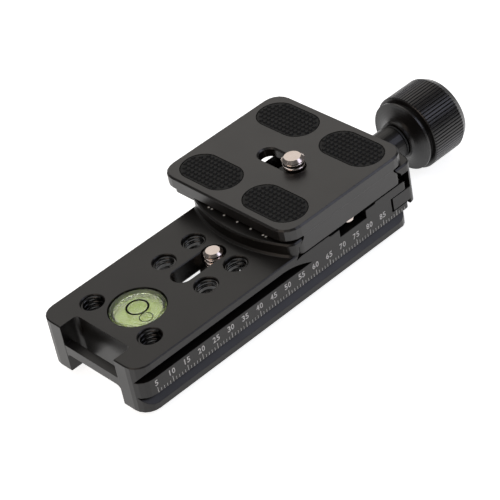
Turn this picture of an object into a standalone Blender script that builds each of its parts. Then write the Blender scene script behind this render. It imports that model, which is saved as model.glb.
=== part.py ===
"""Nodal rail: a dual-dovetail camera rail with a screw clamp and a sliding quick-release plate.

Units are metres. +X runs along the rail towards the knob, -Y is the side with the scale, +Z is up.
The origin is on the rail's underside, below the middle of the clamp.
"""
import math

import bmesh
import bpy
from mathutils import Vector

MM = 0.001

# Clearances between pieces
GAP = 0.30 * MM
SNUG_GAP = 0.15 * MM

# Rail
CLAMP_TO_BACK = 20.3 * MM
RAIL_WIDTH = 38.0 * MM
RAIL_HEIGHT = 14.5 * MM
RAIL_TO_CLAMP = 74.6 * MM
RAIL_FRONT_RADIUS = 4.5 * MM
RAIL_BACK_RADIUS = 1.2 * MM
LOWER_LIP_RADIUS = 4.5 * MM
RAIL_CHAMFER = 0.25 * MM
LIP_HEIGHT = 2.0 * MM
GROOVE_DEPTH = 2.85 * MM
GROOVE_CUTTER_RADIUS = 20.0 * MM
UPPER_GROOVE_LENGTH = 49.0 * MM

# Strap notch and its bar at the front end
NOTCH_DEPTH = 5.6 * MM
NOTCH_HALF_WIDTH = 10.4 * MM
NOTCH_CORNER = 1.2 * MM
STRAP_BAR_DEPTH = 2.5 * MM
STRAP_BAR_HEIGHT = 2.8 * MM
STRAP_BAR_FILLET = 1.5 * MM
STRAP_BAR_ROOT = 1.0 * MM
STRAP_BAR_INSET = 0.05 * MM

# Level
LEVEL_FROM_FRONT = 17.0 * MM
LEVEL_RADIUS = 7.4 * MM
LEVEL_HEIGHT = 4.6 * MM
LEVEL_SINK = 0.1 * MM
LEVEL_WALL = 1.0 * MM
LEVEL_WINDOW = 0.8 * MM
LEVEL_BACKING = 0.8 * MM
LEVEL_EDGE = 0.3 * MM
BUBBLE_RADIUS = 1.65 * MM
BUBBLE_DEPTH = 0.6 * MM
BUBBLE_X = -1.0 * MM
BUBBLE_Y = -4.2 * MM

# Threaded holes in the rail, for quarter-inch screws
HOLE_RADIUS = 3.1 * MM
HOLE_CHAMFER = 0.25 * MM
FRONT_HOLES_FROM_FRONT = 11.4 * MM
FRONT_HOLES_OFFSET = 11.1 * MM
SLOT_HOLES_FROM_FRONT = (33.2 * MM, 43.55 * MM)
SLOT_HOLES_OFFSET = 8.05 * MM

# Slot for the rail screw, and the pocket under it
SLOT_START_FROM_FRONT = 29.4 * MM
SLOT_CHAMFER = 0.2 * MM
SLOT_END_RADIUS = 3.45 * MM
POCKET_START_FROM_FRONT = 26.0 * MM
POCKET_END_FROM_FRONT = 57.0 * MM
POCKET_HALF_WIDTH = 13.2 * MM
POCKET_CORNER = 3.0 * MM
RAIL_WEB = 4.7 * MM

# Plate with its dovetail
PLATE_WIDTH = 44.0 * MM
PLATE_LENGTH = 48.7 * MM
PLATE_SHIFT = 5.35 * MM
PLATE_CORNER = 5.0 * MM
PLATE_SLAB = 3.8 * MM
PLATE_CHAMFER = 0.45 * MM
DOVETAIL_HALF = 18.6 * MM
DOVETAIL_EDGE = 2.3 * MM
DOVETAIL_SLOPE = 2.1 * MM
DOVETAIL_NECK = 0.3 * MM
DOVETAIL_INSET = 0.1 * MM
DOVETAIL_CORNER = 1.5 * MM
PLATE_SLOT_WIDTH = 5.4 * MM
PLATE_SLOT_LENGTH = 15.4 * MM
PLATE_SLOT_CHAMFER = 0.4 * MM
RECESS_HALF_WIDTH = 8.2 * MM
RECESS_HALF_LENGTH = 15.6 * MM
RECESS_CORNER = 4.0 * MM
PLATE_WEB = 2.7 * MM

# Rubber pads let into the plate
PAD_WIDTH = 11.0 * MM
PAD_LENGTH = 19.6 * MM
PAD_DEPTH = 0.7 * MM
PAD_PROUD = 0.3 * MM
PAD_OFFSET_X = 14.15 * MM
PAD_OFFSET_Y = 12.05 * MM

# Safety stops under the plate, and the pockets in the clamp floor that they run in
STOP_HEAD_RADIUS = 2.0 * MM
STOP_HEAD_HEIGHT = 1.7 * MM
STOP_HEAD_RIM = 0.4 * MM
STOP_SHANK_RADIUS = 1.2 * MM
STOP_SHANK_LENGTH = 2.6 * MM
STOP_FROM_PLATE_MIDDLE = 22.2 * MM
STOP_SOCKET_RADIUS = 0.75 * MM
STOP_SOCKET_DEPTH = 0.8 * MM
STOP_POCKET_HALF_WIDTH = 4.9 * MM
STOP_POCKET_DEPTH = 2.8 * MM
STOP_POCKET_LENGTH = 11.0 * MM
STOP_POCKET_CORNER = 2.0 * MM

# Clamp
CLAMP_FLOOR_DROP = 1.0 * MM
LIP_REACH = 1.6 * MM
JAW_RELIEF_REACH = 1.4 * MM
JAW_RELIEF_RISE = 1.5 * MM
JAW_RELIEF_DROP = 0.3 * MM
FLOOR_RELIEF_DEPTH = 0.45 * MM
FLOOR_RELIEF_HALF = 8.7 * MM
FIXED_JAW_THICKNESS = 6.4 * MM
FIXED_JAW_SAGITTA = 4.6 * MM
FIXED_JAW_ROOT = 4.5 * MM
FIXED_JAW_FILLET = 0.6 * MM
FIXED_JAW_INSET = 0.05 * MM
MOVING_JAW_THICKNESS = 6.8 * MM
MOVING_JAW_SAGITTA = 3.0 * MM
JAW_END_RADIUS = 2.4 * MM
JAW_CHAMFER = 0.4 * MM
TONGUE_NOSE_RADIUS = 1.5 * MM
TONGUE_THICKNESS = 2.55 * MM
ARM_SLOT_HEIGHT = 4.3 * MM
ARM_SLOT_START = 13.95 * MM
ARM_TIP_GAP = 0.75 * MM
WEB_INNER_GAP = 1.2 * MM
WEB_MOUTH_DROP = 0.5 * MM
WEB_FOOT_DROP = 1.7 * MM
WEB_FOOT_GAP = 0.7 * MM
BOSS_RADIUS = 5.0 * MM
BOSS_END = 35.0 * MM
SCREW_HEIGHT = 8.9 * MM

# Clamp screw, washer, guide pins and springs
CLAMP_SCREW_RADIUS = 2.45 * MM
CLAMP_SCREW_TIP = 3.9 * MM
CLAMP_HEAD_RADIUS = 4.2 * MM
CLAMP_HEAD_LENGTH = 4.6 * MM
CLAMP_HEAD_CHAMFER = 0.35 * MM
CLAMP_HEAD_HEX = 2.3 * MM
CLAMP_HEAD_HEX_DEPTH = 2.6 * MM
CLAMP_HEAD_SINK = 0.9 * MM
WASHER_THICKNESS = 0.5 * MM
WASHER_RADIUS = 4.9 * MM
PIN_RADIUS = 1.2 * MM
PIN_CHAMFER = 0.3 * MM
PIN_OFFSET_Y = 12.5 * MM
PIN_TIP = 6.1 * MM
PIN_END = 18.9 * MM
SPRING_SEAT = 9.4 * MM
SPRING_MEAN_RADIUS = 1.6 * MM
SPRING_WIRE_RADIUS = 0.2 * MM
SPRING_TURNS = 4.5
SPRING_POINTS_PER_TURN = 10

# Knob
KNOB_RADIUS = 10.95 * MM
KNOB_NECK_RADIUS = 5.4 * MM
KNOB_NECK_LENGTH = 0.4 * MM
KNOB_RING_RADIUS = 10.1 * MM
KNOB_RING_WIDTH = 0.6 * MM
KNOB_FLARE_LENGTH = 1.9 * MM
KNOB_FLARE_STEPS = 8
KNOB_UNDERCUT_RADIUS = 9.3 * MM
KNOB_UNDERCUT_WIDTH = 1.3 * MM
KNOB_GRIP_LENGTH = 12.9 * MM
KNOB_EDGE_CHAMFER = 0.3 * MM
KNOB_END_CHAMFER = 2.0 * MM
KNOB_END_STEP = 1.1 * MM
KNOB_FLUTES = 72
KNOB_FLUTE_DEPTH = 0.35 * MM
KNOB_RIDGE_SHARE = 0.3

# Camera screws
CAMERA_THREAD_RADIUS = 3.15 * MM
SCREW_NECK_RADIUS = 2.4 * MM
RAIL_STUD_RADIUS = 2.65 * MM
SCREW_HEAD_RADIUS = 6.5 * MM
SCREW_HEAD_HEIGHT = 3.0 * MM
SCREW_HEAD_CHAMFER = 0.3 * MM
COIN_SLOT_HALF_WIDTH = 0.8 * MM
COIN_SLOT_DEPTH = 1.3 * MM
NYLON_THICKNESS = 0.6 * MM
NYLON_RADIUS = 5.9 * MM
RAIL_NYLON_RADIUS = 4.3 * MM
STEEL_WASHER_THICKNESS = 0.4 * MM
STEEL_WASHER_RADIUS = 5.5 * MM
RAIL_SCREW_FROM_FRONT = 43.1 * MM
RAIL_SCREW_PROUD = 0.9 * MM
RAIL_SCREW_LIFT = 3.3 * MM
RAIL_STUD_CHAMFER = 0.6 * MM
PLATE_SCREW_Y = 0.6 * MM
PLATE_SCREW_PROUD = 3.3 * MM
PLATE_SCREW_TIP_CHAMFER = 0.7 * MM

# Facets
ROUND_STEPS = 40
SMALL_STEPS = 24
CORNER_STEPS = 5
BOW_STEPS = 12
GROOVE_SWEEP_STEPS = 16
CUT_MARGIN = 2.0 * MM
FLARE_LEDGE = 0.05 * MM
JOIN_DISTANCE = 0.001 * MM

# Heights and places that follow from the sizes above
FRONT = -RAIL_TO_CLAMP
BACK = CLAMP_TO_BACK
HALF_WIDTH = RAIL_WIDTH / 2
BAND_LOW = LIP_HEIGHT + GROOVE_DEPTH
BAND_HIGH = RAIL_HEIGHT - LIP_HEIGHT - GROOVE_DEPTH
GROOVE_ROOT = HALF_WIDTH - GROOVE_DEPTH
FLOOR_Z = RAIL_HEIGHT - CLAMP_FLOOR_DROP
PLATE_Z = FLOOR_Z + GAP
SLOPE_Z = PLATE_Z + DOVETAIL_EDGE
NECK_Z = SLOPE_Z + DOVETAIL_SLOPE
SLAB_Z = NECK_Z + DOVETAIL_NECK
PLATE_TOP = SLAB_Z + PLATE_SLAB
PLATE_CEILING = PLATE_TOP - PLATE_WEB
JAW_TOP = SLAB_Z - GAP
JAW_WALL = DOVETAIL_HALF + GAP
JAW_LIP = JAW_WALL - LIP_REACH
FIXED_JAW_MIDDLE = JAW_WALL + FIXED_JAW_THICKNESS
MOVING_JAW_MIDDLE = JAW_WALL + MOVING_JAW_THICKNESS
JAW_SLOPE_SUM = DOVETAIL_HALF + SLOPE_Z + GAP * math.sqrt(2)
ARM_SLOT_TOP = FLOOR_Z - TONGUE_THICKNESS
ARM_SLOT_BOTTOM = ARM_SLOT_TOP - ARM_SLOT_HEIGHT
ARM_TOP = ARM_SLOT_TOP - GAP
ARM_BOTTOM = ARM_SLOT_BOTTOM + GAP
ARM_TIP = ARM_SLOT_START + ARM_TIP_GAP
ARM_Z = (ARM_TOP + ARM_BOTTOM) / 2
WEB_INNER = BACK + WEB_INNER_GAP
WEB_BOTTOM = ARM_BOTTOM - WEB_FOOT_DROP
POCKET_Z = RAIL_HEIGHT - RAIL_WEB
SLOT_HALF_WIDTH = RAIL_STUD_RADIUS + GAP
KNOB_START = BOSS_END + GAP + WASHER_THICKNESS + GAP
KNOB_RING_START = KNOB_START + KNOB_NECK_LENGTH + KNOB_FLARE_LENGTH
KNOB_RING_END = KNOB_RING_START + KNOB_RING_WIDTH
KNOB_GRIP_START = KNOB_RING_END + KNOB_UNDERCUT_WIDTH
KNOB_END = KNOB_GRIP_START + KNOB_GRIP_LENGTH
CLAMP_HEAD_END = KNOB_END - CLAMP_HEAD_SINK


def from_front(distance):
    return FRONT + distance


def clear_scene():
    for obj in list(bpy.data.objects):
        bpy.data.objects.remove(obj)


def new_collection(name):
    collection = bpy.data.collections.new(name)
    bpy.context.scene.collection.children.link(collection)
    return collection


def material(name, colour, metallic, roughness, alpha=1.0):
    mat = bpy.data.materials.new(name)
    mat.use_nodes = True
    shader = mat.node_tree.nodes["Principled BSDF"]
    shader.inputs["Base Color"].default_value = (*colour, 1.0)
    shader.inputs["Metallic"].default_value = metallic
    shader.inputs["Roughness"].default_value = roughness
    shader.inputs["Alpha"].default_value = alpha
    mat.diffuse_color = (*colour, alpha)
    return mat


def arc(centre, radius, start, end, steps):
    points = []
    for i in range(steps + 1):
        angle = start + (end - start) * i / steps
        points.append((centre[0] + radius * math.cos(angle), centre[1] + radius * math.sin(angle)))
    return points


def circle(centre, radius, steps):
    return arc(centre, radius, 0.0, 2 * math.pi, steps)[:-1]


def rounded_rectangle(low, high, radii):
    """Corner radii in order: low-low, high-low, high-high, low-high; zero leaves a sharp corner."""
    signs = [(1, 1), (-1, 1), (-1, -1), (1, -1)]
    points = []
    for i, (sx, sy) in enumerate(signs):
        x = low[0] if sx > 0 else high[0]
        y = low[1] if sy > 0 else high[1]
        if radii[i] == 0:
            points.append((x, y))
            continue
        start = math.pi + i * math.pi / 2
        centre = (x + sx * radii[i], y + sy * radii[i])
        points += arc(centre, radii[i], start, start + math.pi / 2, CORNER_STEPS)
    return points


def stadium(centre, width, length, along_y):
    radius = width / 2
    reach = length / 2 - radius
    steps = ROUND_STEPS // 2
    if along_y:
        upper = arc((centre[0], centre[1] + reach), radius, 0, math.pi, steps)
        lower = arc((centre[0], centre[1] - reach), radius, math.pi, 2 * math.pi, steps)
        return upper + lower
    right = arc((centre[0] + reach, centre[1]), radius, -math.pi / 2, math.pi / 2, steps)
    left = arc((centre[0] - reach, centre[1]), radius, math.pi / 2, 3 * math.pi / 2, steps)
    return right + left


def jaw_outline(flat_x, middle_x, sagitta, half_width):
    """Plan of a jaw: straight at flat_x, bowed out to middle_x, with rounded outer corners."""
    side = 1 if middle_x > flat_x else -1
    corner = JAW_END_RADIUS
    bow = (half_width ** 2 + sagitta ** 2) / (2 * sagitta)
    bow_u = side * middle_x - bow
    corner_y = half_width - corner
    corner_u = bow_u + math.sqrt((bow - corner) ** 2 - corner_y ** 2)
    turn = math.atan2(corner_y, corner_u - bow_u)
    half = [(side * flat_x, half_width)]
    half += arc((corner_u, corner_y), corner, math.pi / 2, turn, CORNER_STEPS)
    half += arc((bow_u, 0.0), bow, turn, 0.0, BOW_STEPS)[1:]
    half += [(u, -y) for u, y in reversed(half[:-1])]
    return [(side * u, y) for u, y in half]


def link(name, mesh, collection):
    obj = bpy.data.objects.new(name, mesh)
    collection.objects.link(obj)
    return obj


def to_mesh_object(holder, name, collection):
    """Swap a curve object for a plain mesh object with joined points in the same place."""
    bpy.context.view_layer.update()
    depsgraph = bpy.context.evaluated_depsgraph_get()
    mesh = bpy.data.meshes.new_from_object(holder.evaluated_get(depsgraph))
    mesh.name = name
    bm = bmesh.new()
    bm.from_mesh(mesh)
    bmesh.ops.remove_doubles(bm, verts=bm.verts, dist=JOIN_DISTANCE)
    bmesh.ops.dissolve_limit(bm, angle_limit=math.radians(0.1), verts=bm.verts, edges=bm.edges)
    bmesh.ops.recalc_face_normals(bm, faces=bm.faces)
    bm.to_mesh(mesh)
    bm.free()
    place = holder.matrix_world.copy()
    bpy.data.objects.remove(holder)
    obj = link(name, mesh, collection)
    obj.matrix_world = place
    return obj


def prism(name, outline, start, end, collection, axis="Z", chamfer=0.0, hole=None):
    """A 2D outline run along an axis: (x, y) along Z, (x, z) along Y or (y, z) along X."""
    curve = bpy.data.curves.new(name, "CURVE")
    curve.dimensions = "2D"
    curve.fill_mode = "BOTH"
    curve.extrude = (end - start) / 2 - chamfer
    curve.bevel_depth = chamfer
    curve.bevel_resolution = 0
    curve.offset = -chamfer
    for points in [outline] if hole is None else [outline, hole]:
        spline = curve.splines.new("POLY")
        spline.points.add(len(points) - 1)
        for point, (u, v) in zip(spline.points, points):
            point.co = (u, v, 0.0, 1.0)
        spline.use_cyclic_u = True
    holder = link(name, curve, collection)
    middle = (start + end) / 2
    if axis == "Z":
        holder.location = (0.0, 0.0, middle)
    elif axis == "Y":
        holder.rotation_euler = (math.pi / 2, 0.0, 0.0)
        holder.location = (0.0, middle, 0.0)
    else:
        holder.rotation_euler = (math.pi / 2, 0.0, math.pi / 2)
        holder.location = (middle, 0.0, 0.0)
    return to_mesh_object(holder, name, collection)


def turned(name, profile, collection, centre=(0.0, 0.0), axis="Z", steps=ROUND_STEPS, ring=False):
    """A (radius, height) profile turned about Z or X; it runs down the outer side."""
    mesh = bpy.data.meshes.new(name)
    edges = [(i, i + 1) for i in range(len(profile) - 1)]
    if ring:
        edges.append((len(profile) - 1, 0))
    mesh.from_pydata([(radius, 0.0, height) for radius, height in profile], edges, [])
    obj = link(name, mesh, collection)
    screw = obj.modifiers.new("Turn", "SCREW")
    screw.axis = "Z"
    screw.steps = steps
    screw.render_steps = steps
    screw.use_merge_vertices = True
    screw.merge_threshold = 0.00001
    if axis == "X":
        obj.rotation_euler = (0.0, math.pi / 2, 0.0)
        obj.location = (0.0, centre[0], centre[1])
    else:
        obj.location = (centre[0], centre[1], 0.0)
    return obj


def rod(name, radius, start, end, collection, centre=(0.0, 0.0), axis="Z", steps=SMALL_STEPS, end_radius=None):
    """A cylinder or cone from start to end; centre is (x, y) along Z or (y, z) along X."""
    mesh = bpy.data.meshes.new(name)
    bm = bmesh.new()
    top = radius if end_radius is None else end_radius
    bmesh.ops.create_cone(bm, cap_ends=True, segments=steps, radius1=radius, radius2=top, depth=end - start)
    bm.to_mesh(mesh)
    bm.free()
    obj = link(name, mesh, collection)
    middle = (start + end) / 2
    if axis == "X":
        obj.rotation_euler = (0.0, math.pi / 2, 0.0)
        obj.location = (middle, centre[0], centre[1])
    else:
        obj.location = (centre[0], centre[1], middle)
    return obj


def block(name, low, high, collection):
    mesh = bpy.data.meshes.new(name)
    bm = bmesh.new()
    bmesh.ops.create_cube(bm, size=1.0)
    bmesh.ops.scale(bm, vec=Vector(high) - Vector(low), verts=bm.verts)
    bm.to_mesh(mesh)
    bm.free()
    obj = link(name, mesh, collection)
    obj.location = (Vector(low) + Vector(high)) / 2
    return obj


def combine(target, operation, tools):
    for tool in tools:
        modifier = target.modifiers.new(tool.name, "BOOLEAN")
        modifier.operation = operation
        modifier.solver = "EXACT"
        modifier.object = tool
        tool.hide_render = True
        tool.display_type = "WIRE"


def cut(target, *tools):
    combine(target, "DIFFERENCE", tools)


def join(target, *tools):
    combine(target, "UNION", tools)


def finish(obj, mat):
    obj.data.materials.clear()
    obj.data.materials.append(mat)
    return obj


def edge_flare(name, outline_of, chamfer, top):
    """A cutter that breaks the top edge of an opening; outline_of gives its outline grown by a margin."""
    outline = outline_of(FLARE_LEDGE + 2 * chamfer)
    return prism(name, outline, top - chamfer, top + CUT_MARGIN, CUTTERS, chamfer=2 * chamfer)


def lower_groove_cutter(side, name):
    outside = HALF_WIDTH + CUT_MARGIN
    rise = GROOVE_DEPTH + CUT_MARGIN
    outline = [(side * GROOVE_ROOT, BAND_LOW), (side * outside, BAND_LOW), (side * outside, BAND_LOW - rise)]
    return prism(f"lower_groove_{name}", outline, FRONT - CUT_MARGIN, BACK + CUT_MARGIN, CUTTERS, axis="X")


def lower_corner_cutter(side, name):
    """Rounds a back corner of the lip below the scale band."""
    radius = LOWER_LIP_RADIUS
    centre = (BACK - radius, HALF_WIDTH - radius)
    far_x = BACK + CUT_MARGIN
    far_y = HALF_WIDTH + CUT_MARGIN
    outline = arc(centre, radius, 0.0, math.pi / 2, CORNER_STEPS)
    outline = [(far_x, centre[1])] + outline + [(centre[0], far_y), (far_x, far_y)]
    outline = [(x, side * y) for x, y in outline]
    return prism(f"lower_corner_{name}", outline, -CUT_MARGIN, BAND_LOW, CUTTERS)


def upper_groove_cutter(side, name):
    """The upper 45 degree groove; it ends in the sweep of the round cutter that made it."""
    rise = GROOVE_DEPTH + CUT_MARGIN
    outside = HALF_WIDTH + CUT_MARGIN + rise
    start = FRONT - CUT_MARGIN - rise
    sweep_centre = (from_front(UPPER_GROOVE_LENGTH), GROOVE_ROOT + GROOVE_CUTTER_RADIUS)
    sweep_end = math.asin((outside - sweep_centre[1]) / GROOVE_CUTTER_RADIUS)
    outline = [(start, GROOVE_ROOT)]
    outline += arc(sweep_centre, GROOVE_CUTTER_RADIUS, -math.pi / 2, sweep_end, GROOVE_SWEEP_STEPS)
    outline.append((start, outside))
    outline = [(x, side * y) for x, y in outline]
    # The outline tapers at 45 degrees both ways from the ledge, and the half below the ledge is removed
    cutter = prism(f"upper_groove_{name}", outline, BAND_HIGH - rise, BAND_HIGH + rise, CUTTERS, chamfer=rise)
    reach = BACK - FRONT + RAIL_WIDTH
    below = block(f"below_groove_{name}", (-reach, -reach, -reach), (reach, reach, BAND_HIGH), CUTTERS)
    cut(cutter, below)
    return cutter


def strap_bar():
    low = (RAIL_HEIGHT - STRAP_BAR_HEIGHT) / 2
    high = low + STRAP_BAR_HEIGHT
    fillet = STRAP_BAR_FILLET
    root = NOTCH_HALF_WIDTH + STRAP_BAR_ROOT
    # The fillet starts just inside the notch's wall
    centre = (NOTCH_HALF_WIDTH + STRAP_BAR_INSET - fillet, low - fillet)
    half = [(root, high), (root, low - fillet)] + arc(centre, fillet, 0.0, math.pi / 2, CORNER_STEPS)
    outline = half + [(-y, z) for y, z in reversed(half)]
    start = FRONT + STRAP_BAR_INSET
    return prism("strap_bar", outline, start, from_front(STRAP_BAR_DEPTH), CUTTERS, axis="X")


def notch_cutter():
    radii = (0, NOTCH_CORNER, NOTCH_CORNER, 0)
    low = (FRONT - CUT_MARGIN, -NOTCH_HALF_WIDTH)
    outline = rounded_rectangle(low, (from_front(NOTCH_DEPTH), NOTCH_HALF_WIDTH), radii)
    return prism("strap_notch", outline, -CUT_MARGIN, RAIL_HEIGHT + CUT_MARGIN, CUTTERS)


def threaded_hole_cutters():
    places = [(FRONT_HOLES_FROM_FRONT, FRONT_HOLES_OFFSET)]
    places += [(distance, SLOT_HOLES_OFFSET) for distance in SLOT_HOLES_FROM_FRONT]
    profile = [
        (0.0, RAIL_HEIGHT + CUT_MARGIN),
        (HOLE_RADIUS + HOLE_CHAMFER + CUT_MARGIN, RAIL_HEIGHT + CUT_MARGIN),
        (HOLE_RADIUS, RAIL_HEIGHT - HOLE_CHAMFER),
        (HOLE_RADIUS, -CUT_MARGIN),
        (0.0, -CUT_MARGIN),
    ]
    cutters = []
    for i, (distance, offset) in enumerate(places):
        for side, label in ((-1, "near"), (1, "far")):
            centre = (from_front(distance), side * offset)
            cutters.append(turned(f"hole_{i}_{label}", profile, CUTTERS, centre, steps=SMALL_STEPS))
    return cutters


def rail_slot_cutters():
    start = from_front(SLOT_START_FROM_FRONT)
    end_hole = (from_front(RAIL_SCREW_FROM_FRONT), 0.0)
    length = end_hole[0] + SLOT_HALF_WIDTH - start
    middle = (start + length / 2, 0.0)

    def slot_outline(growth):
        return stadium(middle, 2 * (SLOT_HALF_WIDTH + growth), length + 2 * growth, along_y=False)

    pocket_outline = rounded_rectangle(
        (from_front(POCKET_START_FROM_FRONT), -POCKET_HALF_WIDTH),
        (from_front(POCKET_END_FROM_FRONT), POCKET_HALF_WIDTH),
        (POCKET_CORNER,) * 4,
    )
    top = RAIL_HEIGHT + CUT_MARGIN
    return [
        prism("rail_pocket", pocket_outline, -CUT_MARGIN, POCKET_Z, CUTTERS),
        prism("rail_slot", slot_outline(0.0), POCKET_Z - CUT_MARGIN, top, CUTTERS),
        edge_flare("rail_slot_mouth", slot_outline, SLOT_CHAMFER, RAIL_HEIGHT),
        rod("rail_slot_end", SLOT_END_RADIUS, POCKET_Z - CUT_MARGIN, top, CUTTERS, end_hole),
    ]


def clamp_cavity_cutter():
    """The clamp's floor, the fixed jaw's dovetail and the tongue's rounded nose, cut in one pass."""
    top = JAW_TOP + CUT_MARGIN
    far = MOVING_JAW_MIDDLE + CUT_MARGIN
    nose_centre = (BACK - TONGUE_NOSE_RADIUS, FLOOR_Z - TONGUE_NOSE_RADIUS)
    outline = [
        (-JAW_WALL + JAW_RELIEF_DROP, FLOOR_Z),
        (-JAW_WALL - JAW_RELIEF_REACH, FLOOR_Z - JAW_RELIEF_DROP),
        (-JAW_WALL, FLOOR_Z + JAW_RELIEF_RISE),
        (-JAW_WALL, JAW_SLOPE_SUM - JAW_WALL),
        (-JAW_LIP, JAW_SLOPE_SUM - JAW_LIP),
        (-JAW_LIP, top),
        (far, top),
        (far, nose_centre[1]),
    ]
    outline += arc(nose_centre, TONGUE_NOSE_RADIUS, 0.0, math.pi / 2, CORNER_STEPS)
    reach = HALF_WIDTH + CUT_MARGIN
    return prism("clamp_cavity", outline, -reach, reach, CUTTERS, axis="Y")


def clamp_floor_cutters():
    depth = FLOOR_RELIEF_DEPTH
    relief = [
        (-FLOOR_RELIEF_HALF - depth, FLOOR_Z + depth),
        (-FLOOR_RELIEF_HALF + depth, FLOOR_Z - depth),
        (FLOOR_RELIEF_HALF - depth, FLOOR_Z - depth),
        (FLOOR_RELIEF_HALF + depth, FLOOR_Z + depth),
    ]
    reach = HALF_WIDTH + CUT_MARGIN
    cutters = [prism("floor_relief", relief, -reach, reach, CUTTERS, axis="Y")]
    half = STOP_POCKET_HALF_WIDTH
    inner = HALF_WIDTH - STOP_POCKET_LENGTH
    corner = STOP_POCKET_CORNER
    for side, label in ((-1, "near"), (1, "far")):
        low_y, high_y = sorted((side * inner, side * reach))
        radii = (0, 0, corner, corner) if side < 0 else (corner, corner, 0, 0)
        outline = rounded_rectangle((-half, low_y), (half, high_y), radii)
        cutters.append(prism(f"stop_pocket_{label}", outline, FLOOR_Z - STOP_POCKET_DEPTH, JAW_TOP, CUTTERS))
    return cutters


def clamp_bore_cutters():
    far = BACK + CUT_MARGIN
    reach = HALF_WIDTH + CUT_MARGIN
    screw_radius = CLAMP_SCREW_RADIUS + GAP
    cutters = [
        block("arm_slot", (ARM_SLOT_START, -reach, ARM_SLOT_BOTTOM), (far, reach, ARM_SLOT_TOP), CUTTERS),
        rod("screw_bore", screw_radius, CLAMP_SCREW_TIP - 2 * GAP, far, CUTTERS, (0.0, SCREW_HEIGHT), "X"),
    ]
    spring_radius = SPRING_MEAN_RADIUS + SPRING_WIRE_RADIUS + GAP
    for side, label in ((-1, "near"), (1, "far")):
        centre = (side * PIN_OFFSET_Y, ARM_Z)
        cutters += [
            rod(f"pin_bore_{label}", PIN_RADIUS + GAP, PIN_TIP - 2 * GAP, ARM_TIP, CUTTERS, centre, "X"),
            rod(f"spring_bore_{label}", spring_radius, SPRING_SEAT, ARM_TIP, CUTTERS, centre, "X"),
        ]
    return cutters


def build_rail():
    outline = rounded_rectangle(
        (FRONT, -HALF_WIDTH),
        (BACK, HALF_WIDTH),
        (RAIL_FRONT_RADIUS, RAIL_BACK_RADIUS, RAIL_BACK_RADIUS, RAIL_FRONT_RADIUS),
    )
    rail = prism("rail_body", outline, 0.0, RAIL_HEIGHT, PARTS, chamfer=RAIL_CHAMFER)
    jaw_root = RAIL_HEIGHT - FIXED_JAW_ROOT
    half_width = HALF_WIDTH - FIXED_JAW_INSET
    jaw_plan = jaw_outline(-JAW_LIP + CUT_MARGIN, -FIXED_JAW_MIDDLE, FIXED_JAW_SAGITTA, half_width)
    ridge = prism("fixed_jaw", jaw_plan, jaw_root, JAW_TOP, CUTTERS, chamfer=JAW_CHAMFER)
    foot_middle = -FIXED_JAW_MIDDLE - FIXED_JAW_FILLET
    foot_width = half_width - FIXED_JAW_INSET
    foot_plan = jaw_outline(-JAW_LIP + 2 * CUT_MARGIN, foot_middle, FIXED_JAW_SAGITTA, foot_width)
    foot = prism(
        "fixed_jaw_foot",
        foot_plan,
        jaw_root + FIXED_JAW_FILLET,
        RAIL_HEIGHT + FIXED_JAW_FILLET,
        CUTTERS,
        chamfer=FIXED_JAW_FILLET,
    )
    well_floor = RAIL_HEIGHT - LEVEL_SINK - LEVEL_HEIGHT - GAP
    level_centre = (from_front(LEVEL_FROM_FRONT), 0.0)
    well = rod(
        "level_well",
        LEVEL_RADIUS + GAP,
        well_floor,
        RAIL_HEIGHT + CUT_MARGIN,
        CUTTERS,
        level_centre,
        steps=ROUND_STEPS,
    )
    join(rail, ridge, foot)
    cut(rail, clamp_cavity_cutter(), notch_cutter())
    for side, label in ((-1, "near"), (1, "far")):
        cut(rail, upper_groove_cutter(side, label), lower_groove_cutter(side, label))
        cut(rail, lower_corner_cutter(side, label))
    join(rail, strap_bar())
    cut(rail, *clamp_floor_cutters(), *clamp_bore_cutters(), *rail_slot_cutters(), *threaded_hole_cutters(), well)
    weld = rail.modifiers.new("Join points", "WELD")
    weld.merge_threshold = JOIN_DISTANCE
    return finish(rail, ANODISED)


def build_moving_jaw():
    plan = jaw_outline(ARM_TIP, MOVING_JAW_MIDDLE, MOVING_JAW_SAGITTA, HALF_WIDTH)
    jaw = prism("moving_jaw", plan, WEB_BOTTOM, JAW_TOP, PARTS, chamfer=JAW_CHAMFER)
    reach = HALF_WIDTH + CUT_MARGIN
    outside = ARM_TIP - CUT_MARGIN
    mouth_top = JAW_SLOPE_SUM - JAW_WALL - WEB_MOUTH_DROP
    mouth = [
        (outside, ARM_TOP),
        (WEB_INNER, ARM_TOP),
        (WEB_INNER, mouth_top),
        (JAW_WALL, mouth_top),
        (JAW_WALL, JAW_SLOPE_SUM - JAW_WALL),
        (JAW_LIP, JAW_SLOPE_SUM - JAW_LIP),
        (JAW_LIP, JAW_TOP + CUT_MARGIN),
        (outside, JAW_TOP + CUT_MARGIN),
    ]
    foot_x = BACK + WEB_FOOT_GAP
    foot = block("jaw_foot", (outside, -reach, WEB_BOTTOM - CUT_MARGIN), (foot_x, reach, ARM_BOTTOM), CUTTERS)
    axis = (0.0, SCREW_HEIGHT)
    boss = rod("jaw_boss", BOSS_RADIUS, WEB_INNER + GAP, BOSS_END, CUTTERS, axis, "X", steps=ROUND_STEPS)
    bore = rod("jaw_bore", CLAMP_SCREW_RADIUS + GAP, outside, BOSS_END + CUT_MARGIN, CUTTERS, axis, "X")
    cut(jaw, prism("jaw_mouth", mouth, -reach, reach, CUTTERS, axis="Y"), foot)
    join(jaw, boss)
    cut(jaw, bore)
    for side, label in ((-1, "near"), (1, "far")):
        centre = (side * PIN_OFFSET_Y, ARM_Z)
        cut(jaw, rod(f"jaw_pin_hole_{label}", PIN_RADIUS + SNUG_GAP, outside, PIN_END + GAP, CUTTERS, centre, "X"))
    return finish(jaw, ANODISED)


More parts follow.
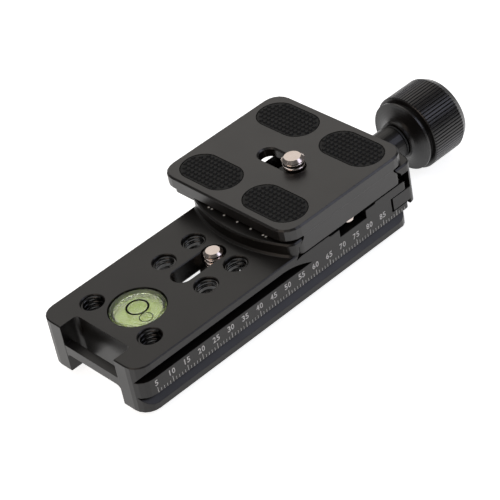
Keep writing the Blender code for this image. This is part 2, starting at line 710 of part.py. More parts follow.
def build_guides():
    profile = [
        (0.0, PIN_END),
        (PIN_RADIUS - PIN_CHAMFER, PIN_END),
        (PIN_RADIUS, PIN_END - PIN_CHAMFER),
        (PIN_RADIUS, PIN_TIP + PIN_CHAMFER),
        (PIN_RADIUS - PIN_CHAMFER, PIN_TIP),
        (0.0, PIN_TIP),
    ]
    start = SPRING_SEAT + GAP + SPRING_WIRE_RADIUS
    length = ARM_TIP - GAP - SPRING_WIRE_RADIUS - start
    steps = round(SPRING_TURNS * SPRING_POINTS_PER_TURN)
    for side, label in ((-1, "near"), (1, "far")):
        centre = (side * PIN_OFFSET_Y, ARM_Z)
        pin = turned(f"guide_pin_{label}", profile, PARTS, centre, "X", steps=SMALL_STEPS)
        finish(pin, STEEL)
        coil = bpy.data.curves.new(f"jaw_spring_{label}", "CURVE")
        coil.dimensions = "3D"
        coil.bevel_depth = SPRING_WIRE_RADIUS
        coil.bevel_resolution = 2
        coil.use_fill_caps = True
        spline = coil.splines.new("POLY")
        spline.points.add(steps)
        for i, point in enumerate(spline.points):
            angle = 2 * math.pi * i / SPRING_POINTS_PER_TURN
            y = SPRING_MEAN_RADIUS * math.cos(angle)
            z = SPRING_MEAN_RADIUS * math.sin(angle)
            point.co = (start + length * i / steps, y, z, 1.0)
        holder = link(coil.name, coil, PARTS)
        holder.location = (0.0, centre[0], centre[1])
        finish(to_mesh_object(holder, f"jaw_spring_{label}", PARTS), STEEL)


def flute_cutter():
    """A sleeve whose inside leaves one ridge at each facet corner of the turned knob."""
    axis = (0.0, SCREW_HEIGHT)
    pitch = 2 * math.pi / KNOB_FLUTES
    outer = KNOB_RADIUS + GAP
    root = KNOB_RADIUS - KNOB_FLUTE_DEPTH
    inside = []
    for i in range(KNOB_FLUTES):
        ridge = i * pitch
        groove = ridge + pitch / 2
        for radius, angle in (
            (outer, ridge + pitch * KNOB_RIDGE_SHARE / 2),
            (root, groove),
            (outer, ridge + pitch - pitch * KNOB_RIDGE_SHARE / 2),
        ):
            inside.append((axis[0] + radius * math.cos(angle), axis[1] + radius * math.sin(angle)))
    outside = circle(axis, KNOB_RADIUS + CUT_MARGIN, ROUND_STEPS)
    start = KNOB_RING_END + KNOB_UNDERCUT_WIDTH / 2
    return prism("knob_flutes", outside, start, KNOB_END + CUT_MARGIN, CUTTERS, axis="X", hole=inside)


def build_knob():
    axis = (0.0, SCREW_HEIGHT)
    flare_start = KNOB_START + KNOB_NECK_LENGTH
    flare = []
    for i in range(KNOB_FLARE_STEPS + 1):
        turn = math.pi / 2 * (1 - i / KNOB_FLARE_STEPS)
        radius = KNOB_NECK_RADIUS + (KNOB_RING_RADIUS - KNOB_NECK_RADIUS) * (1 - math.cos(turn))
        flare.append((radius, flare_start + KNOB_FLARE_LENGTH * math.sin(turn)))
    profile = [
        (0.0, KNOB_END),
        (KNOB_RADIUS - KNOB_END_STEP, KNOB_END),
        (KNOB_RADIUS, KNOB_END - KNOB_END_CHAMFER),
        (KNOB_RADIUS, KNOB_GRIP_START + KNOB_EDGE_CHAMFER),
        (KNOB_RADIUS - KNOB_EDGE_CHAMFER, KNOB_GRIP_START),
        (KNOB_UNDERCUT_RADIUS, KNOB_GRIP_START),
        (KNOB_UNDERCUT_RADIUS, KNOB_RING_END),
        (KNOB_RING_RADIUS, KNOB_RING_END),
        *flare,
        (KNOB_NECK_RADIUS, KNOB_START),
        (0.0, KNOB_START),
    ]
    knob = turned("clamp_knob", profile, PARTS, axis, "X", steps=KNOB_FLUTES)
    head_seat = CLAMP_HEAD_END - CLAMP_HEAD_LENGTH - SNUG_GAP
    far = KNOB_END + CUT_MARGIN
    bore = rod("knob_bore", CLAMP_SCREW_RADIUS + SNUG_GAP, KNOB_START - CUT_MARGIN, far, CUTTERS, axis, "X")
    seat = rod("knob_head_seat", CLAMP_HEAD_RADIUS + GAP, head_seat, far, CUTTERS, axis, "X", steps=ROUND_STEPS)
    cut(knob, flute_cutter(), bore, seat)
    finish(knob, KNOB_METAL)

    screw_profile = [
        (0.0, CLAMP_HEAD_END),
        (CLAMP_HEAD_RADIUS - CLAMP_HEAD_CHAMFER, CLAMP_HEAD_END),
        (CLAMP_HEAD_RADIUS, CLAMP_HEAD_END - CLAMP_HEAD_CHAMFER),
        (CLAMP_HEAD_RADIUS, CLAMP_HEAD_END - CLAMP_HEAD_LENGTH),
        (CLAMP_SCREW_RADIUS, CLAMP_HEAD_END - CLAMP_HEAD_LENGTH),
        (CLAMP_SCREW_RADIUS, CLAMP_SCREW_TIP + CLAMP_HEAD_CHAMFER),
        (CLAMP_SCREW_RADIUS - CLAMP_HEAD_CHAMFER, CLAMP_SCREW_TIP),
        (0.0, CLAMP_SCREW_TIP),
    ]
    screw = turned("clamp_screw", screw_profile, PARTS, axis, "X")
    hexagon = circle(axis, CLAMP_HEAD_HEX, 6)
    socket = prism("clamp_screw_hex", hexagon, CLAMP_HEAD_END - CLAMP_HEAD_HEX_DEPTH, far, CUTTERS, axis="X")
    cut(screw, socket)
    finish(screw, STEEL)

    washer_start = BOSS_END + GAP
    washer_end = washer_start + WASHER_THICKNESS
    washer_hole = CLAMP_SCREW_RADIUS + GAP
    washer_profile = [
        (washer_hole, washer_end),
        (WASHER_RADIUS, washer_end),
        (WASHER_RADIUS, washer_start),
        (washer_hole, washer_start),
    ]
    finish(turned("thrust_washer", washer_profile, PARTS, axis, "X", ring=True), NYLON)


def build_level():
    centre = (from_front(LEVEL_FROM_FRONT), 0.0)
    top = RAIL_HEIGHT - LEVEL_SINK
    bottom = top - LEVEL_HEIGHT
    ceiling = top - LEVEL_WINDOW
    bore = LEVEL_RADIUS - LEVEL_WALL
    inside = bore - SNUG_GAP
    vial_profile = [
        (0.0, top),
        (LEVEL_RADIUS - LEVEL_EDGE, top),
        (LEVEL_RADIUS, top - LEVEL_EDGE),
        (LEVEL_RADIUS, bottom),
        (bore, bottom),
        (bore, ceiling),
        (0.0, ceiling),
    ]
    finish(turned("level_vial", vial_profile, PARTS, centre), CLEAR)
    backing_top = bottom + LEVEL_BACKING
    backing = [(0.0, backing_top), (inside, backing_top), (inside, bottom), (0.0, bottom)]
    finish(turned("level_backing", backing, PARTS, centre), BACKING)
    liquid_top = ceiling - SNUG_GAP
    liquid_bottom = backing_top + SNUG_GAP
    liquid_profile = [(0.0, liquid_top), (inside, liquid_top), (inside, liquid_bottom), (0.0, liquid_bottom)]
    liquid = turned("level_liquid", liquid_profile, PARTS, centre)
    bubble_profile = [(0.0, liquid_top + CUT_MARGIN), (BUBBLE_RADIUS, liquid_top + CUT_MARGIN)]
    for i in range(CORNER_STEPS + 1):
        turn = math.pi / 2 * i / CORNER_STEPS
        bubble_profile.append((BUBBLE_RADIUS * math.cos(turn), liquid_top - BUBBLE_DEPTH * math.sin(turn)))
    bubble_profile[-1] = (0.0, liquid_top - BUBBLE_DEPTH)
    bubble_centre = (centre[0] + BUBBLE_X, centre[1] + BUBBLE_Y)
    cut(liquid, turned("level_bubble", bubble_profile, CUTTERS, bubble_centre, steps=SMALL_STEPS))
    finish(liquid, LIQUID)


def build_screw_washer(name, centre, hole, radius, top, thickness, mat):
    profile = [(hole, top), (radius, top), (radius, top - thickness), (hole, top - thickness)]
    finish(turned(name, profile, PARTS, centre, ring=True), mat)


def build_camera_screw(name, centre, tip, tip_chamfer, thread_radius, thread_end, neck_radius, head_top):
    """A captive screw: threaded tip, neck and a round head with a coin slot below."""
    head_bottom = head_top - SCREW_HEAD_HEIGHT
    profile = [
        (0.0, tip),
        (thread_radius - tip_chamfer, tip),
        (thread_radius, tip - tip_chamfer),
        (thread_radius, thread_end),
        (neck_radius, thread_end),
        (neck_radius, head_top),
        (SCREW_HEAD_RADIUS - SCREW_HEAD_CHAMFER, head_top),
        (SCREW_HEAD_RADIUS, head_top - SCREW_HEAD_CHAMFER),
        (SCREW_HEAD_RADIUS, head_bottom + SCREW_HEAD_CHAMFER),
        (SCREW_HEAD_RADIUS - SCREW_HEAD_CHAMFER, head_bottom),
        (0.0, head_bottom),
    ]
    if thread_radius == neck_radius:
        del profile[3:5]
    screw = turned(name, profile, PARTS, centre)
    reach = SCREW_HEAD_RADIUS + CUT_MARGIN
    slot = block(
        f"{name}_coin_slot",
        (centre[0] - COIN_SLOT_HALF_WIDTH, centre[1] - reach, head_bottom - CUT_MARGIN),
        (centre[0] + COIN_SLOT_HALF_WIDTH, centre[1] + reach, head_bottom + COIN_SLOT_DEPTH),
        CUTTERS,
    )
    cut(screw, slot)
    finish(screw, STEEL)


def build_camera_screws():
    """The rail screw hangs low under its web; the plate screw sits up against its own."""
    centre = (from_front(RAIL_SCREW_FROM_FRONT), 0.0)
    hole = RAIL_STUD_RADIUS + SNUG_GAP
    nylon_top = POCKET_Z - SNUG_GAP
    build_screw_washer("rail_screw_washer", centre, hole, RAIL_NYLON_RADIUS, nylon_top, NYLON_THICKNESS, NYLON)
    steel_top = nylon_top - NYLON_THICKNESS - RAIL_SCREW_LIFT - SNUG_GAP
    thickness = STEEL_WASHER_THICKNESS
    build_screw_washer("rail_screw_thrust_ring", centre, hole, STEEL_WASHER_RADIUS, steel_top, thickness, STEEL)
    build_camera_screw(
        "rail_screw",
        centre,
        RAIL_HEIGHT + RAIL_SCREW_PROUD,
        RAIL_STUD_CHAMFER,
        RAIL_STUD_RADIUS,
        RAIL_HEIGHT,
        RAIL_STUD_RADIUS,
        steel_top - thickness - SNUG_GAP,
    )
    centre = (0.0, PLATE_SCREW_Y)
    hole = SCREW_NECK_RADIUS + SNUG_GAP
    nylon_top = PLATE_CEILING - SNUG_GAP
    build_screw_washer("plate_screw_washer", centre, hole, NYLON_RADIUS, nylon_top, NYLON_THICKNESS, NYLON)
    build_camera_screw(
        "plate_screw",
        centre,
        PLATE_TOP + PLATE_SCREW_PROUD,
        PLATE_SCREW_TIP_CHAMFER,
        CAMERA_THREAD_RADIUS,
        PLATE_TOP + SNUG_GAP,
        SCREW_NECK_RADIUS,
        nylon_top - NYLON_THICKNESS - SNUG_GAP,
    )


def pad_outline(x, y, growth):
    return stadium((x, y), PAD_WIDTH + 2 * growth, PAD_LENGTH + 2 * growth, along_y=True)


def build_plate():
    half_length = PLATE_LENGTH / 2
    low = (-PLATE_WIDTH / 2, PLATE_SHIFT - half_length)
    high = (PLATE_WIDTH / 2, PLATE_SHIFT + half_length)
    slab_outline = rounded_rectangle(low, high, (PLATE_CORNER,) * 4)
    plate = prism("quick_release_plate", slab_outline, SLAB_Z, PLATE_TOP, PARTS, chamfer=PLATE_CHAMFER)
    neck_half = DOVETAIL_HALF - DOVETAIL_SLOPE
    dovetail = [
        (-DOVETAIL_HALF, PLATE_Z),
        (DOVETAIL_HALF, PLATE_Z),
        (DOVETAIL_HALF, SLOPE_Z),
        (neck_half, NECK_Z),
        (neck_half, SLAB_Z + PLATE_SLAB / 2),
        (-neck_half, SLAB_Z + PLATE_SLAB / 2),
        (-neck_half, NECK_Z),
        (-DOVETAIL_HALF, SLOPE_Z),
    ]
    flange = prism("plate_dovetail", dovetail, low[1] - CUT_MARGIN, high[1] + CUT_MARGIN, CUTTERS, axis="Y")
    flange_plan = rounded_rectangle(
        (-DOVETAIL_HALF, low[1] + DOVETAIL_INSET),
        (DOVETAIL_HALF, high[1] - DOVETAIL_INSET),
        (DOVETAIL_CORNER,) * 4,
    )
    trim = prism("plate_dovetail_ends", flange_plan, PLATE_Z - CUT_MARGIN, PLATE_TOP, CUTTERS)
    combine(flange, "INTERSECT", [trim])
    recess_outline = rounded_rectangle(
        (-RECESS_HALF_WIDTH, PLATE_SHIFT - RECESS_HALF_LENGTH),
        (RECESS_HALF_WIDTH, PLATE_SHIFT + RECESS_HALF_LENGTH),
        (RECESS_CORNER,) * 4,
    )
    recess = prism("plate_recess", recess_outline, PLATE_Z - CUT_MARGIN, PLATE_CEILING, CUTTERS)

    def slot_outline(growth):
        width = PLATE_SLOT_WIDTH + 2 * growth
        return stadium((0.0, PLATE_SHIFT), width, PLATE_SLOT_LENGTH + 2 * growth, along_y=True)

    slot = prism("plate_slot", slot_outline(0.0), PLATE_CEILING - CUT_MARGIN, PLATE_TOP + CUT_MARGIN, CUTTERS)
    slot_mouth = edge_flare("plate_slot_mouth", slot_outline, PLATE_SLOT_CHAMFER, PLATE_TOP)
    join(plate, flange)
    cut(plate, recess, slot, slot_mouth)

    seat_z = PLATE_TOP - PAD_DEPTH
    number = 0
    for side_x in (-1, 1):
        for side_y in (-1, 1):
            number += 1
            x = side_x * PAD_OFFSET_X
            y = PLATE_SHIFT + side_y * PAD_OFFSET_Y
            seat = prism(f"pad_seat_{number}", pad_outline(x, y, SNUG_GAP), seat_z, PLATE_TOP + CUT_MARGIN, CUTTERS)
            cut(plate, seat)
            pad_bottom = seat_z + SNUG_GAP
            pad = prism(f"plate_pad_{number}", pad_outline(x, y, 0.0), pad_bottom, PLATE_TOP + PAD_PROUD, PARTS)
            finish(pad, RUBBER)

    head_top = PLATE_Z - SNUG_GAP
    head_bottom = head_top - STOP_HEAD_HEIGHT
    dome_height = STOP_HEAD_HEIGHT - STOP_HEAD_RIM
    shank_top = PLATE_Z + STOP_SHANK_LENGTH
    profile = [
        (0.0, shank_top),
        (STOP_SHANK_RADIUS, shank_top),
        (STOP_SHANK_RADIUS, head_top),
        (STOP_HEAD_RADIUS, head_top),
    ]
    for i in range(CORNER_STEPS):
        turn = math.pi / 2 * i / CORNER_STEPS
        z = head_top - STOP_HEAD_RIM - dome_height * math.sin(turn)
        profile.append((STOP_HEAD_RADIUS * math.cos(turn), z))
    profile.append((0.0, head_bottom))
    for side, label in ((-1, "near"), (1, "far")):
        centre = (0.0, PLATE_SHIFT + side * STOP_FROM_PLATE_MIDDLE)
        hole_top = shank_top + GAP
        cut(plate, rod(f"stop_hole_{label}", STOP_SHANK_RADIUS + SNUG_GAP, PLATE_Z - GAP, hole_top, CUTTERS, centre))
        stop = turned(f"safety_stop_{label}", profile, PARTS, centre, steps=SMALL_STEPS)
        hexagon = circle(centre, STOP_SOCKET_RADIUS, 6)
        socket_top = head_bottom + STOP_SOCKET_DEPTH
        cut(stop, prism(f"stop_socket_{label}", hexagon, head_bottom - CUT_MARGIN, socket_top, CUTTERS))
        finish(stop, STEEL)
    finish(plate, ANODISED)


def main():
    build_rail()
    build_moving_jaw()
    build_guides()
    build_knob()
    build_level()
    build_camera_screws()
    build_plate()


clear_scene()
PARTS = new_collection("nodal_rail")
CUTTERS = new_collection("cutters")
ANODISED = material("black_anodised", (0.05, 0.048, 0.046), 0.6, 0.45)
KNOB_METAL = material("black_turned", (0.03, 0.028, 0.027), 0.0, 0.35)
STEEL = material("bright_steel", (0.62, 0.60, 0.58), 1.0, 0.25)
NYLON = material("dark_nylon", (0.02, 0.02, 0.02), 0.0, 0.5)
RUBBER = material("black_rubber", (0.03, 0.03, 0.03), 0.0, 0.8)
CLEAR = material("clear_plastic", (0.8, 0.85, 0.8), 0.0, 0.1, 0.35)
LIQUID = material("level_liquid", (0.75, 0.9, 0.3), 0.0, 0.05, 0.35)
BACKING = material("yellow_green_plastic", (0.7, 0.85, 0.05), 0.0, 0.4)
main()
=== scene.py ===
import math

import bmesh
import bpy
from mathutils import Matrix, Vector


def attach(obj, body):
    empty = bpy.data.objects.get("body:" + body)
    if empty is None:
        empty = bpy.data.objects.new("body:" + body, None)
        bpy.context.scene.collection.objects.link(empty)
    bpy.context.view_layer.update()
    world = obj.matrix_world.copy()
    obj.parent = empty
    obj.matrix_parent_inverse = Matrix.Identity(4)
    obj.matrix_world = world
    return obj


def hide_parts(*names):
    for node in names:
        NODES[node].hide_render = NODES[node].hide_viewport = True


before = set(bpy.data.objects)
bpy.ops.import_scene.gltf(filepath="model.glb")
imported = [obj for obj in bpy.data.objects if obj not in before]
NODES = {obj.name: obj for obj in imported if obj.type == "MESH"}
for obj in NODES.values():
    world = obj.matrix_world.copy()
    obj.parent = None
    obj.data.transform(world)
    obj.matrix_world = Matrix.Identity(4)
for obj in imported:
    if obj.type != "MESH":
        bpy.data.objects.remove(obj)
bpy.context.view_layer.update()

MM = 0.001

# Where the rail stands in the shared frame
RAIL_FRONT = -74.6 * MM
RAIL_SIDE = -19.0 * MM
RAIL_TOP = 14.5 * MM
WEB_UNDERSIDE = 9.8 * MM
BAND_LOW = 4.85 * MM
KNOB_LOWEST = -2.05 * MM

# The printed scale on the near side
FIRST_TICK = 5
LAST_TICK = 93
NUMBERED_TICK = 5
LAST_NUMBER = 85
TICK_SPACING = 1.0 * MM
TICK_WIDTH = 0.12 * MM
LONG_TICK_WIDER = 0.3
SHORT_TICK = 0.95 * MM
LONG_TICK = 1.67 * MM
PRINT_PROUD = 0.01 * MM
PRINT_SUNK = 0.05 * MM
PRINT_MIDDLE = RAIL_SIDE + (PRINT_SUNK - PRINT_PROUD) / 2
DIGIT_HEIGHT = 1.65 * MM
DIGIT_WIDTH = 1.0 * MM
DIGIT_GAP = 0.22 * MM
DIGIT_BOLDER = 0.025 * MM
DIGIT_FOOT = 7.15 * MM
DIGIT_CURVE_STEPS = 3

# Camera threads are 1/4 inch, 20 to the inch; a ridge has three corners and is wider than it is high
THREAD_PITCH = 1.27 * MM
THREAD_STEPS = 96
THREAD_END_GAP = 0.9 * MM
THREAD_RUNOUT = 0.3 * MM
THREAD_TURNED_IN = math.radians(180)
THREAD_TURNED_OUT = 0.0
RIDGE_CORNERS = 3
RIDGE_WIDER = 1.65

# The six camera-screw holes; the middle of a ridge's section lies a little inside the wall
HOLE_RADIUS = 3.1 * MM
HOLE_RIDGE = 0.6 * MM
HOLE_RIDGE_INSIDE = 0.12 * MM
FRONT_HOLES = [(-63.2 * MM, y * MM) for y in (-11.1, 11.1)]
WEB_HOLES = [(x * MM, y * MM) for x in (-41.4, -31.05) for y in (-8.05, 8.05)]

# The two captive screws: tip, thread foot and head top are heights; core, crest and neck are radii
HEAD_RADIUS = 6.5 * MM
HEAD_CHAMFER = 0.3 * MM
HEAD_HEIGHT = 3.0 * MM
COIN_SLOT_HALF_WIDTH = 0.8 * MM
COIN_SLOT_DEPTH = 1.3 * MM
COIN_SLOT_OVERRUN = 1.0 * MM
CREST_INSET = 0.05 * MM
CORE_SHOULDER = 0.25 * MM
CORE_RIDGE_OUTSIDE = 0.1 * MM
ROUND_STEPS = 64
RAIL_SCREW = {
    "centre": (-31.5 * MM, 0.0),
    "tip": 15.4 * MM,
    "chamfer_width": 0.75 * MM,
    "chamfer_height": 0.6 * MM,
    "core": 2.25 * MM,
    "crest": 2.65 * MM,
    "thread_foot": 8.0 * MM,
    "neck": 2.2 * MM,
    "head_top": 5.05 * MM,
}
PLATE_SCREW = {
    "centre": (0.0, 0.6 * MM),
    "tip": 25.6 * MM,
    "chamfer_width": 0.9 * MM,
    "chamfer_height": 0.75 * MM,
    "core": 2.6 * MM,
    "crest": 3.15 * MM,
    "thread_foot": 22.45 * MM,
    "neck": 2.4 * MM,
    "head_top": 18.7 * MM,
}

# The rubber pads on the plate; the rim's steps are how far in from the side and how far below the field
PAD_WIDTH = 11.0 * MM
PAD_LENGTH = 19.6 * MM
PAD_CENTRE = (14.15 * MM, 12.05 * MM)
PLATE_CENTRE_Y = 5.35 * MM
PAD_FOOT = 21.75 * MM
PAD_FIELD = 22.28 * MM
PAD_TOP = 22.6 * MM
PAD_RIM = [(0.0, 0.12 * MM), (0.04 * MM, 0.04 * MM), (0.14 * MM, 0.0)]
PAD_END_STEPS = 14
DOT_PITCH = 1.46 * MM
DOT_FOOT_RADIUS = 0.7 * MM
DOT_TOP_RADIUS = 0.3 * MM
DOT_SIDES = 12
DOT_ROWS = 15
DOT_MARGIN = 0.7 * MM
DOT_SUNK = 0.02 * MM

# The bubble level
LEVEL_CENTRE = (-57.6 * MM, 0.0)
LEVEL_TOP = 14.4 * MM
LEVEL_RING_RADIUS = 2.8 * MM
LEVEL_RING_LINE = 0.55 * MM
LEVEL_PRINT_SUNK = 0.01 * MM
BUBBLE_CENTRE = (-58.85 * MM, -4.8 * MM)
BUBBLE_RADIUS = 1.72 * MM
BUBBLE_LINE = 0.26 * MM
LEVEL_SIDE_RADIUS = 7.3 * MM
LEVEL_SIDE_THICK = 0.1 * MM
LEVEL_SIDE_FOOT = 10.7 * MM
LEVEL_SIDE_TOP = 13.9 * MM

# The index dots on the fixed jaw
JAW_TOP = 18.2 * MM
INDEX_DOTS = [(-21.9 * MM, y * MM) for y in (11.1, 9.9, 5.2, 0.2, -4.8, -9.4, -10.5)]
INDEX_DOT_RADIUS = 0.32 * MM
INDEX_DOT_HOLE = 0.02 * MM
INDEX_DOT_SUNK = 0.025 * MM
INDEX_DOT_STEPS = 12

# How wide and deep the finishes' fine patterns are drawn, and how soft the edges look
DIMPLE_WIDTH = 0.2 * MM
DIMPLE_DEPTH = 0.012 * MM
TOOL_LINE_WIDTH = 0.25 * MM
TOOL_LINE_DEPTH = 0.006 * MM
TOOL_MARK_WIDTH = 0.3 * MM
TOOL_MARK_DEPTH = 0.004 * MM
PAINT_RIPPLE_WIDTH = 0.15 * MM
PAINT_RIPPLE_DEPTH = 0.01 * MM
BLASTED_EDGE = 0.2 * MM
THREAD_EDGE = 0.04 * MM
TURNED_EDGE = 0.1 * MM
EDGE_SAMPLES = 4

# How far a finish goes before its tone drifts
BLASTED_PATCH = 14 * MM
TURNED_PATCH = 6 * MM
PLATED_PATCH = 1.5 * MM
MOULDED_PATCH = 3 * MM
CLEAR_PATCH = 4 * MM
PAINT_PATCH = 0.5 * MM
PAPER_PATCH = 20 * MM

# The studio, in metres and watts; each softbox has a place, a size, a power and a colour
WORLD_STRENGTH = 0.12
FLOOR_GLOW = 0.86
FLOOR_REACH = 3.0
SOFTBOX_AIM = (-0.01, 0.0, 0.01)
SOFTBOXES = {
    "top_softbox": ((-0.1, 0.2, 0.75), (0.6, 0.6), 1.4, "ffffff"),
    "back_softbox": ((0.38, 0.51, 0.5), (0.9, 0.6), 1.5, "fffaf4"),
    "left_softbox": ((-0.7, -0.1, 0.45), (0.5, 0.5), 1.2, "ffe8d6"),
    "front_softbox": ((0.45, -0.57, 0.6), (0.5, 0.5), 1.5, "e6e9ff"),
}

# The camera stands where the photograph's own stood, which the printed scale gave.
# Its turns are in degrees, its lens and sensor in millimetres.
CAMERA_PLACE = (-275.235 * MM, -343.897 * MM, 332.595 * MM)
CAMERA_TURNS = (52.2543, 9.2136, -43.663)
CAMERA_LENS = 149.26
CAMERA_SENSOR = 36.0
CAMERA_NEAREST = 10 * MM

# Settings that several nodes share
COLOURS = {"data_type": "RGBA"}
NOISE_SPAN = {"From Min": 0.3, "From Max": 0.7}
ADD = {"operation": "ADD"}
SUBTRACT = {"operation": "SUBTRACT"}
MULTIPLY = {"operation": "MULTIPLY"}
DIVIDE = {"operation": "DIVIDE"}
MODULO = {"operation": "MODULO"}
LESS_THAN = {"operation": "LESS_THAN"}
LARGER = {"operation": "MAXIMUM"}
ABSOLUTE = {"operation": "ABSOLUTE"}
ROOT = {"operation": "SQRT"}


def linear(colour):
    """The linear value of an sRGB hex colour."""
    channels = [int(colour[i : i + 2], 16) / 255 for i in (0, 2, 4)]
    values = [c / 12.92 if c <= 0.04045 else ((c + 0.055) / 1.055) ** 2.4 for c in channels]
    return (*values, 1.0)


def add(tree, kind, settings=None, inputs=None):
    """Adds a node with its settings, values and links.
    A node that is given as a value stands for its first output."""
    node = tree.nodes.new(kind)
    for key, value in (settings or {}).items():
        setattr(node, key, value)
    for key, value in (inputs or {}).items():
        if isinstance(value, bpy.types.Node):
            value = value.outputs[0]
        if isinstance(value, bpy.types.NodeSocket):
            tree.links.new(value, node.inputs[key])
        else:
            node.inputs[key].default_value = value
    return node


def new_material(name):
    """An empty material, its tree, and the place on the piece that its patterns follow."""
    material = bpy.data.materials.new(name)
    material.use_nodes = True
    tree = material.node_tree
    tree.nodes.clear()
    place = add(tree, "ShaderNodeTexCoord").outputs["Object"]
    return material, tree, place


def wandering(tree, place, patch, tones, roughness):
    """A colour and a roughness that drift a little from place to place, in patches of a given size."""
    drift = add(tree, "ShaderNodeTexNoise", None, {"Vector": place, "Scale": 1 / patch})
    mixed = {0: drift, 6: linear(tones[0]), 7: linear(tones[1])}
    colour = add(tree, "ShaderNodeMix", COLOURS, mixed).outputs[2]
    span = {**NOISE_SPAN, "Value": drift, "To Min": roughness[0], "To Max": roughness[1]}
    return {"Base Color": colour, "Roughness": add(tree, "ShaderNodeMapRange", None, span)}


def close_material(material, tree, inputs):
    """Ends a material in one surface, and gives it back."""
    surface = add(tree, "ShaderNodeBsdfPrincipled", None, inputs)
    add(tree, "ShaderNodeOutputMaterial", None, {"Surface": surface})
    return material


def bead_blasted_anodising(name, tones, roughness, ior, edge_radius=BLASTED_EDGE):
    """Aluminium, bead-blasted, dyed black and sealed: a clear oxide over a dark dye gives a soft satin.
    The blast leaves dimples of about 0.05 mm; they are drawn 0.2 mm wide so that they show."""
    material, tree, place = new_material(name)
    grain_inputs = {"Vector": place, "Scale": 1 / DIMPLE_WIDTH, "Detail": 3.0}
    grain = add(tree, "ShaderNodeTexNoise", None, grain_inputs)
    edge = add(tree, "ShaderNodeBevel", {"samples": EDGE_SAMPLES}, {"Radius": edge_radius})
    dimples = {"Height": grain, "Distance": DIMPLE_DEPTH, "Strength": 0.35, "Normal": edge}
    inputs = wandering(tree, place, BLASTED_PATCH, tones, roughness)
    inputs.update({"IOR": ior, "Normal": add(tree, "ShaderNodeBump", None, dimples)})
    return close_material(material, tree, inputs)


def turned_anodising(name, tones, roughness, ior):
    """Aluminium turned on a lathe, then dyed black: tighter highlights than blasted metal, and tool lines.
    The tool's feed of about 0.1 mm is drawn 0.25 mm wide so that it shows."""
    material, tree, place = new_material(name)
    along = add(tree, "ShaderNodeSeparateXYZ", None, {0: place})
    line_inputs = {"W": along, "Scale": 1 / TOOL_LINE_WIDTH}
    lines = add(tree, "ShaderNodeTexNoise", {"noise_dimensions": "1D"}, line_inputs)
    edge = add(tree, "ShaderNodeBevel", {"samples": EDGE_SAMPLES}, {"Radius": TURNED_EDGE})
    cuts = {"Height": lines, "Distance": TOOL_LINE_DEPTH, "Strength": 0.4, "Normal": edge}
    inputs = wandering(tree, place, TURNED_PATCH, tones, roughness)
    inputs.update({"IOR": ior, "Normal": add(tree, "ShaderNodeBump", None, cuts)})
    return close_material(material, tree, inputs)


def bright_steel(name, tones, roughness):
    """Steel, turned or ground, plated or bare: a bright, faintly warm mirror, softened by fine tool marks.
    The marks of about 0.05 mm are drawn 0.3 mm wide so that they show."""
    material, tree, place = new_material(name)
    marks = add(tree, "ShaderNodeTexNoise", None, {"Vector": place, "Scale": 1 / TOOL_MARK_WIDTH})
    cuts = {"Height": marks, "Distance": TOOL_MARK_DEPTH, "Strength": 0.3}
    inputs = wandering(tree, place, PLATED_PATCH, tones, roughness)
    inputs.update({"Metallic": 1.0, "Normal": add(tree, "ShaderNodeBump", None, cuts)})
    return close_material(material, tree, inputs)


def moulded(name, tones, roughness, grain, depth, ior=1.5):
    """A moulded plastic or rubber: a dull even body with the fine texture of its mould."""
    material, tree, place = new_material(name)
    texture = add(tree, "ShaderNodeTexNoise", None, {"Vector": place, "Scale": 1 / grain})
    skin = {"Height": texture, "Distance": depth, "Strength": 0.5}
    inputs = wandering(tree, place, MOULDED_PATCH, tones, roughness)
    inputs.update({"IOR": ior, "Normal": add(tree, "ShaderNodeBump", None, skin)})
    return close_material(material, tree, inputs)


def clear(name, tones, roughness, ior, alpha):
    """A clear body, moulded or poured: light goes through it and bends.
    A part of the light passes straight on, so what is inside stays lit."""
    material, tree, place = new_material(name)
    inputs = wandering(tree, place, CLEAR_PATCH, tones, roughness)
    inputs.update({"IOR": ior, "Transmission Weight": 1.0, "Alpha": alpha})
    return close_material(material, tree, inputs)


def paint(name, tones, shine=0.5):
    """Matt paint or ink, printed or rubbed in: thin, a little uneven, so its tone wanders along a line."""
    material, tree, place = new_material(name)
    ripple_inputs = {"Vector": place, "Scale": 1 / PAINT_RIPPLE_WIDTH}
    ripples = add(tree, "ShaderNodeTexNoise", None, ripple_inputs)
    skin = {"Height": ripples, "Distance": PAINT_RIPPLE_DEPTH, "Strength": 0.4}
    inputs = wandering(tree, place, PAINT_PATCH, tones, (0.5, 0.7))
    inputs["Specular IOR Level"] = shine
    inputs["Normal"] = add(tree, "ShaderNodeBump", None, skin)
    return close_material(material, tree, inputs)


# The rail and the moving jaw: milled, blasted and dyed, so a dark soft satin
RAIL_FINISH = bead_blasted_anodising(
    "bead_blasted_black_anodised_rail",
    tones=("110f0d", "141210"),
    roughness=(0.3, 0.36),
    ior=1.45,
)
# The blast barely reaches into a tapped hole, so its cut metal stays sharp-edged and shinier. Its tones are
# darker than the rail's to paint shade into the holes, so the crests stand out against dark valleys.
THREAD_FINISH_WITH_PAINTED_SHADE = bead_blasted_anodising(
    "tapped_thread_anodised_with_painted_shade",
    # painted shade: these tones are darker than the rail's to darken the inside of the holes
    tones=("0a0a09", "0d0c0c"),
    roughness=(0.2, 0.26),
    ior=1.6,
    edge_radius=THREAD_EDGE,
)
# The plate is dyed a little less deeply than the rail, so it looks greyer
PLATE_FINISH = bead_blasted_anodising(
    "bead_blasted_black_anodised_plate",
    tones=("181615", "1c1a18"),
    roughness=(0.32, 0.38),
    ior=1.57,
)
# The knob isn't blasted, so its flare throws a narrow highlight
KNOB_FINISH = turned_anodising(
    "turned_black_anodised_aluminium",
    tones=("171514", "1d1b1a"),
    roughness=(0.28, 0.34),
    ior=1.5,
)
# The camera screws and safety stops: nickel plate over turned steel, the brightest of the metals
SCREW_FINISH = bright_steel(
    "nickel_plated_turned_steel",
    tones=("cdbfb8", "ddd2cb"),
    roughness=(0.14, 0.22),
)
